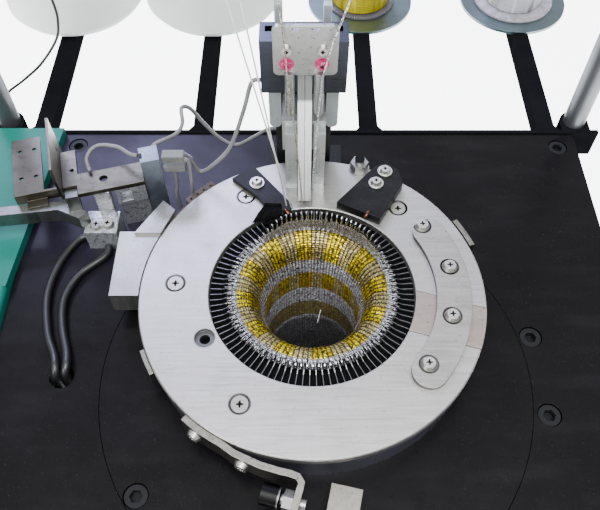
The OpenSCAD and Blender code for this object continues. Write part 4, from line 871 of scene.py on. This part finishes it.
def winding(radius, low, high, count, depth):
    """Profile of close turns between two heights."""
    rows = []
    for k in range(count * 3 + 1):
        z = low + (high - low) * k / (count * 3)
        rows.append((radius - depth * (1 if k % 3 == 0 else 0), z))
    return rows


def flange_outline(low, high, radius):
    """Profile of a round flange with a hub and softened rims."""
    face = high - RIM * 0.6
    return [(SPOOL_BORE, low), (radius - RIM, low), (radius, low + RIM), (radius, high - RIM),
            (radius - RIM, high), (radius - 5 * RIM, face), (11 * MM, face), (10 * MM, high),
            (SPOOL_BORE, high)]


class KNITTER_OT_spools(bpy.types.Operator):
    """Wind the gold and the silver spool, with their clear flanges"""
    bl_idname = "knitter.spools"
    bl_label = "Spools"

    def execute(self, context):
        silver = context.scene.knit_sizes.silver
        for node, label, colour, barrel, clear in REELS:
            low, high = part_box(node)
            centre = Vector(((low[0] + high[0]) / 2, (low[1] + high[1]) / 2, low[2]))
            radius = (high[0] - low[0]) / 2
            tall = high[2] - low[2]
            rows = winding(barrel, FLANGE, tall - FLANGE, 34, 0.35 * MM)
            rows = [(SPOOL_CORE, FLANGE)] + rows + [(SPOOL_CORE, tall - FLANGE)]
            make_piece(label + "_windings", turned(centre, rows),
                       wound_yarn(label + "_winding", colour or silver, 900.0, 0.9), ROOT,
                       [node])
            flanges = [flange_outline(0, 3 * MM, radius),
                       flange_outline(tall - 2 * MM, tall, radius - 4 * MM)]
            make_piece(label + "_flanges", joined([turned(centre, f) for f in flanges]),
                       clear_plastic(label + "_flange", clear), ROOT)
        return {"FINISHED"}


# Finishes of the solids; places in millimetres from the centre of the ring's top

# Painted shade round screw heads
SCREW_SHADE = (0.004, 0.004, 0.004, 1)
UPRIGHT_GRAIN = (300, 300, 25)
RING_SCREWS = [(-49, -88.8), (-101, 5.8), (-52.4, 88.1), (69.1, 76.3)]
PAN_SLOTS = [(102.6, 18, 6.7), (99.7, -23.7, 6.7), (79, -61.5, 6.7), (86, 56, 6.7),
             (-43.7, 98.6, 8.2), (60, 107.5, 12.2), (52, 95, 12.2), (-173, 69, -10.8),
             (-164, 70, -10.8)]
# The changer's cover: where its screws stand to the side and how high
COVER_SCREWS = (-17.8, 5.9)
COVER_HEIGHTS = (139.5, SEALED_SCREWS)
OIL_HOLE = (-76, -39.7, -2.5)
# Radius and width of the ring round a screw's head: painted shade round countersunk and pan heads,
# pink lacquer round a seal
COUNTERSUNK_RIM = (6.7 * MM, 1.3 * MM)
PAN_RIM = (6.4 * MM, 1.0 * MM)
SEAL_RIM = (4.0 * MM, 1.8 * MM)
# Places and reaches of the black bolt head in front and stud end behind
BLACK_ENDS = [((-31.3, -144.3, -11), 12.8), ((40, 118, 12.5), 4.6)]
# Place of the painted bluish reflection on the table's rear left
TABLE_CORNER = (-170, 190, -11.5)


def dress(nodes, material):
    """Put a finish on CAD nodes."""
    for name in nodes:
        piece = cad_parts[name]
        piece.data.materials.clear()
        piece.data.materials.append(material)


def solid_finishes(colours):
    """Groups of CAD nodes and the material that each wears."""
    # Painted shade: dark rings round the ring's countersunk screws and the strap's pan screws
    ring_marks = [(spot(*p), *COUNTERSUNK_RIM, SCREW_SHADE) for p in RING_SCREWS]
    ring_marks.append((spot(*OIL_HOLE), 4.6 * MM, 4.2 * MM, (0.09, 0.09, 0.09, 1)))
    strap_marks = [(spot(x, y, z - 3.7), *PAN_RIM, SCREW_SHADE) for x, y, z in PAN_SLOTS[:4]]
    # Painted shade in the slots of the pan screws and the changer's cover screws
    slots = [(spot(x, y, z - 3.6), 3.95 * MM) for x, y, z in PAN_SLOTS]
    slots += [(spot(x, 96.4, z), 3.0 * MM) for x in COVER_SCREWS for z in COVER_HEIGHTS]
    halo = [(spot(x, 95, SEALED_SCREWS), *SEAL_RIM, (0.6, 0.02, 0.2, 1)) for x in COVER_SCREWS]
    # Painted shade in the slots of the countersunk screws
    ring_slots = [(spot(x, y, -3.9), 4.2 * MM) for x, y in RING_SCREWS]
    black_ends = [(spot(*place), reach * MM) for place, reach in BLACK_ENDS]
    return [
        # The table wears a painted bluish reflection at its rear left
        (["table_plate", "inset_plate"], painted(
            "black_table", colours.table, 0.27, dust=0.06, gloss=0.1,
            haze_and_sheen=(spot(*TABLE_CORNER), 190 * MM, (0.017, 0.0145, 0.028, 1)))),
        (["table_bolts"], painted("black_bolts", (0.008, 0.008, 0.009, 1), 0.36, gloss=0.12)),
        (["body_panels", "front_apron", "door", "side_cover"],
         painted("cabinet_paint", colours.cabinet, 0.42, dust=0.1, gloss=0.25)),
        (["base_frame", "creel_frame"],
         painted("frame_paint", (0.005, 0.005, 0.006, 1), 0.5, dust=0.03, gloss=0.0)),
        (["levelling_feet"], painted("foot_paint", (0.03, 0.03, 0.033, 1), 0.5)),
        (["guide_bar"], painted("bar_paint", (0.09, 0.095, 0.105, 1), 0.4)),
        (["feeder_arms", "changer_post"],
         painted("arm_paint", (0.0032, 0.0031, 0.0036, 1), 0.38, dust=0.12, gloss=0.15)),
        (["changer_block"], ground_steel("dark_block_steel", (0.065, 0.072, 0.095, 1), 0.32)),
        (["motor"], painted("motor_paint", (0.03, 0.075, 0.11, 1), 0.45)),
        (["cam_box"], ground_steel("blued_steel", (0.19, 0.19, 0.25, 1), 0.3,
                                   stretch=(300, 300, 30), metallic=0.9)),
        (["cam_ring"], ground_steel("cam_steel", (0.34, 0.35, 0.37, 1), 0.35)),
        (["cover_ring"], ground_steel("ring_steel", colours.ring, 0.42, stain=0.13, edge=0.6,
                                      marks=ring_marks)),
        (["gate_insert"], ground_steel("gate_steel", (0.36, 0.31, 0.275, 1), 0.42,
                                       (60, 500, 500), stain=0.3)),
        # The strap's walls get painted shade
        (["gate_strap"], ground_steel("strap_steel", (0.42, 0.405, 0.385, 1), 0.36, stain=0.2,
                                      edge=0.6, wall=0.12, marks=strap_marks)),
        (["side_plates"],
         ground_steel("zinc_plate", (0.33, 0.325, 0.315, 1), 0.38, UPRIGHT_GRAIN, 0.2)),
        # The support bar is a darker copy of the zinc plate: painted shade
        (["support_bar"], ground_steel("shaded_bar_zinc", (0.2, 0.21, 0.205, 1), 0.4, UPRIGHT_GRAIN, 0.3)),
        # The ring straps' walls get painted shade
        (["ring_straps"], ground_steel("strap_zinc", (0.25, 0.24, 0.21, 1), 0.34,
                                       UPRIGHT_GRAIN, 0.35, 0.6, wall=0.5)),
        (["changer_stand"],
         ground_steel("stand_steel", (0.46, 0.48, 0.475, 1), 0.36, UPRIGHT_GRAIN, 0.35, 0.6,
                      metallic=0.6, grain_bump=0.3)),
        (["selector_bar", "selector_bracket", "selector_blade"],
         ground_steel("galvanised", (0.083, 0.078, 0.061, 1), 0.36, (30, 300, 300), 0.3, 0.6)),
        (["changer_cover"],
         ground_steel("cover_steel", (0.36, 0.37, 0.365, 1), 0.4, (500, 500, 500), 0.4, 0.6,
                      marks=halo, grain_bump=0.3)),
        # The fingers' upper part gets painted shade
        (["finger_left", "finger_right"], ground_steel(
            "finger_steel", (0.74, 0.75, 0.745, 1), 0.38, (400, 400, 12), 0.05, 0.3,
            metallic=0.35, shade_above=RING_TOP + 95 * MM, grain_bump=0.05)),
        (["bar_left", "bar_right"], ground_steel("bar_steel", (0.4, 0.45, 0.47, 1), 0.36,
                                                 (300, 300, 20), 0.15, metallic=0.6)),
        (["selector_column"], ground_steel("column_steel", (0.19, 0.225, 0.265, 1), 0.5)),
        (["selector_base"], cast_metal("cast_base", (0.56, 0.58, 0.62, 1), 0.38, 700)),
        (["toothed_strip"], rusted("rusted_strip")),
        (["pan_screws"], screw_metal("nickel_screws", (0.56, 0.55, 0.52, 1), slots)),
        (["hex_fasteners"], screw_metal("bolt_zinc", (0.3, 0.3, 0.29, 1), black_ends)),
        (["cover_screws"], screw_metal("countersunk_screws", (0.42, 0.4, 0.36, 1), ring_slots)),
        (["posts"], ground_steel("satin_post", (0.13, 0.137, 0.147, 1), 0.44,
                                 (300, 300, 10), 0.15, 0.2, metallic=0.8)),
        (["spool_discs"], ground_steel("disc_steel", (0.155, 0.2, 0.215, 1), 0.38, stain=0.2)),
        (["door_hinges"], ground_steel("hinge_zinc", (0.5, 0.5, 0.52, 1), 0.4)),
        (["needles"], ground_steel("needle_steel", (0.6, 0.6, 0.6, 1), 0.22, (300, 300, 60),
                                   0.0, 0.05)),
        (["sinkers"], ground_steel("sinker_steel", (0.17, 0.17, 0.175, 1), 0.34, (300, 300, 60),
                                   0.1, 0.05)),
        (["needle_cylinder"], ground_steel("cylinder_steel", (0.035, 0.035, 0.04, 1), 0.35)),
        # The sinker bed is painted near black: painted shade of the deep bed between the sinkers
        (["sinker_bed"],
         painted("bed_black", (0.001, 0.001, 0.0012, 1), 0.5, edge=0.1, gloss=0.04)),
        (["ring_gear", "jack_shaft", "motor_pulley"],
         ground_steel("machined_steel", (0.4, 0.4, 0.37, 1), 0.35)),
        (["bearing_housing"], cast_metal("housing_iron", (0.16, 0.165, 0.175, 1), 0.6)),
        (["takedown_weight"], cast_metal("weight_iron", (0.08, 0.085, 0.09, 1), 0.6)),
        (["drive_belt"], sheath("belt_rubber", (0.015, 0.015, 0.015, 1), 0.7)),
        (["start_button"], moulded("green_button", (0.02, 0.3, 0.06, 1))),
        (["stop_button"], moulded("red_button", (0.6, 0.02, 0.015, 1))),
        (["white_packages"],
         wound_yarn("white_winding", (0.93, 0.93, 0.91, 1), 600.0, tilt=3.0)),
        (["gold_spool", "clear_spool", "fabric_tube", "yarns", "sensor_cables",
          "power_cables"], sheath("hidden_core", (0.3, 0.3, 0.3, 1))),
    ]


class KNITTER_OT_finishes(bpy.types.Operator):
    """Give every solid its steel, paint, casting or rubber finish"""
    bl_idname = "knitter.finishes"
    bl_label = "Finishes"

    def execute(self, context):
        finishes = solid_finishes(context.scene.finish_colours)
        for nodes, material in finishes:
            dress(nodes, material)
        left = set(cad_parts) - {n for nodes, _ in finishes for n in nodes}
        if left:
            raise RuntimeError("no finish for " + ", ".join(sorted(left)))
        return {"FINISHED"}


# Stage

FLOOR_REACH = 6.0
HEAD = (0, 0, 0.9)
EYE = (0.0196, -0.3694, 1.3749)
EYE_TILT = 34.38
LENS, SENSOR = 42.0, 36.0


def make_floor(colour):
    mesh = bpy.data.meshes.new("floor")
    corners = [(-1, -1), (1, -1), (1, 1), (-1, 1)]
    mesh.from_pydata([(x * FLOOR_REACH, y * FLOOR_REACH, 0) for x, y in corners], [],
                     [(0, 1, 2, 3)])
    s = Shade("floor_paint")
    s.set(Base_Color=s.mix(s.noise(3.0), tone(colour, 0.97), tone(colour, 1.03)),
          Roughness=0.8, Emission_Color=(1, 1, 1, 1), Emission_Strength=5.0)
    mesh.materials.append(s.material)
    floor = bpy.data.objects.new("floor", mesh)
    bpy.context.scene.collection.objects.link(floor)


def make_sky():
    """A pale world that is brighter overhead."""
    world = bpy.data.worlds.new("studio")
    world.use_nodes = True
    tree = world.node_tree
    sky = tree.nodes["Background"]
    sky.inputs["Color"].default_value = (0.94, 0.965, 1.0, 1)
    look = tree.nodes.new("ShaderNodeTexCoord")
    axes = tree.nodes.new("ShaderNodeSeparateXYZ")
    rise = tree.nodes.new("ShaderNodeMapRange")
    for key, value in (("From Min", 0.0), ("From Max", 0.9), ("To Min", 0.4), ("To Max", 1.5)):
        rise.inputs[key].default_value = value
    tree.links.new(look.outputs["Generated"], axes.inputs[0])
    tree.links.new(axes.outputs["Z"], rise.inputs["Value"])
    tree.links.new(rise.outputs["Result"], sky.inputs["Strength"])
    bpy.context.scene.world = world


def soft_light(name, place, target, size, power, colour=(1, 1, 1)):
    lamp = bpy.data.lights.new(name, "AREA")
    lamp.shape = "SQUARE"
    lamp.size = size
    lamp.energy = power
    lamp.color = colour
    piece = bpy.data.objects.new(name, lamp)
    piece.location = place
    piece.rotation_euler = (Vector(target) - Vector(place)).to_track_quat("-Z", "Y").to_euler()
    bpy.context.scene.collection.objects.link(piece)


def make_camera():
    camera = bpy.data.cameras.new("camera")
    camera.lens = LENS
    camera.sensor_width = SENSOR
    camera.sensor_fit = "HORIZONTAL"
    camera.clip_start = 0.02
    eye = bpy.data.objects.new("camera", camera)
    eye.location = EYE
    eye.rotation_euler = (math.radians(EYE_TILT), 0, 0)
    bpy.context.scene.collection.objects.link(eye)
    bpy.context.scene.camera = eye


class KNITTER_OT_stage(bpy.types.Operator):
    """Set the pale floor, the soft light and the camera"""
    bl_idname = "knitter.stage"
    bl_label = "Stage"

    def execute(self, context):
        stage = context.scene.stage_settings
        make_floor(stage.floor)
        make_sky()
        soft_light("overhead", (0.1, -0.9, 3.2), HEAD, 1.8, stage.key_power)
        soft_light("front_left", (-2.0, -2.2, 2.2), HEAD, 1.4, stage.key_power * 0.45)
        soft_light("window", (-0.75, 1.9, 2.5), (-0.15, 0.1, 0.9), 1.2, stage.key_power * 0.7,
                   (0.6, 0.62, 1.0))
        make_camera()
        return {"FINISHED"}


class KNITTER_PT_panel(bpy.types.Panel):
    """Knitting machine pieces"""
    bl_label = "Knitting machine"
    bl_idname = "KNITTER_PT_panel"
    bl_space_type = "VIEW_3D"
    bl_region_type = "UI"
    bl_category = "Knitting"

    def draw(self, context):
        for group in GROUPS:
            box = self.layout.box()
            settings = getattr(context.scene, group)
            for name in settings.bl_rna.properties.keys():
                if name not in ("rna_type", "name"):
                    box.prop(settings, name)
        for operator in OPERATORS:
            self.layout.operator(operator.bl_idname)


GROUPS = {"knit_sizes": KnitSizes, "brush_sizes": BrushSizes,
          "finish_colours": FinishColours, "stage_settings": StageSettings}
OPERATORS = [KNITTER_OT_stage, KNITTER_OT_cables, KNITTER_OT_finishes, KNITTER_OT_knitted_tube,
             KNITTER_OT_top_loops, KNITTER_OT_eyelets, KNITTER_OT_brush, KNITTER_OT_yarns,
             KNITTER_OT_spools]


def register():
    for cls in [*GROUPS.values(), *OPERATORS, KNITTER_PT_panel]:
        bpy.utils.register_class(cls)
    for name, cls in GROUPS.items():
        setattr(bpy.types.Scene, name, bpy.props.PointerProperty(type=cls))


def unregister():
    for name in GROUPS:
        delattr(bpy.types.Scene, name)
    for cls in reversed([*GROUPS.values(), *OPERATORS, KNITTER_PT_panel]):
        bpy.utils.unregister_class(cls)


def main():
    register()
    for operator in OPERATORS:
        group, name = operator.bl_idname.split(".")
        getattr(getattr(bpy.ops, group), name)()


if __name__ == "__main__":
    main()
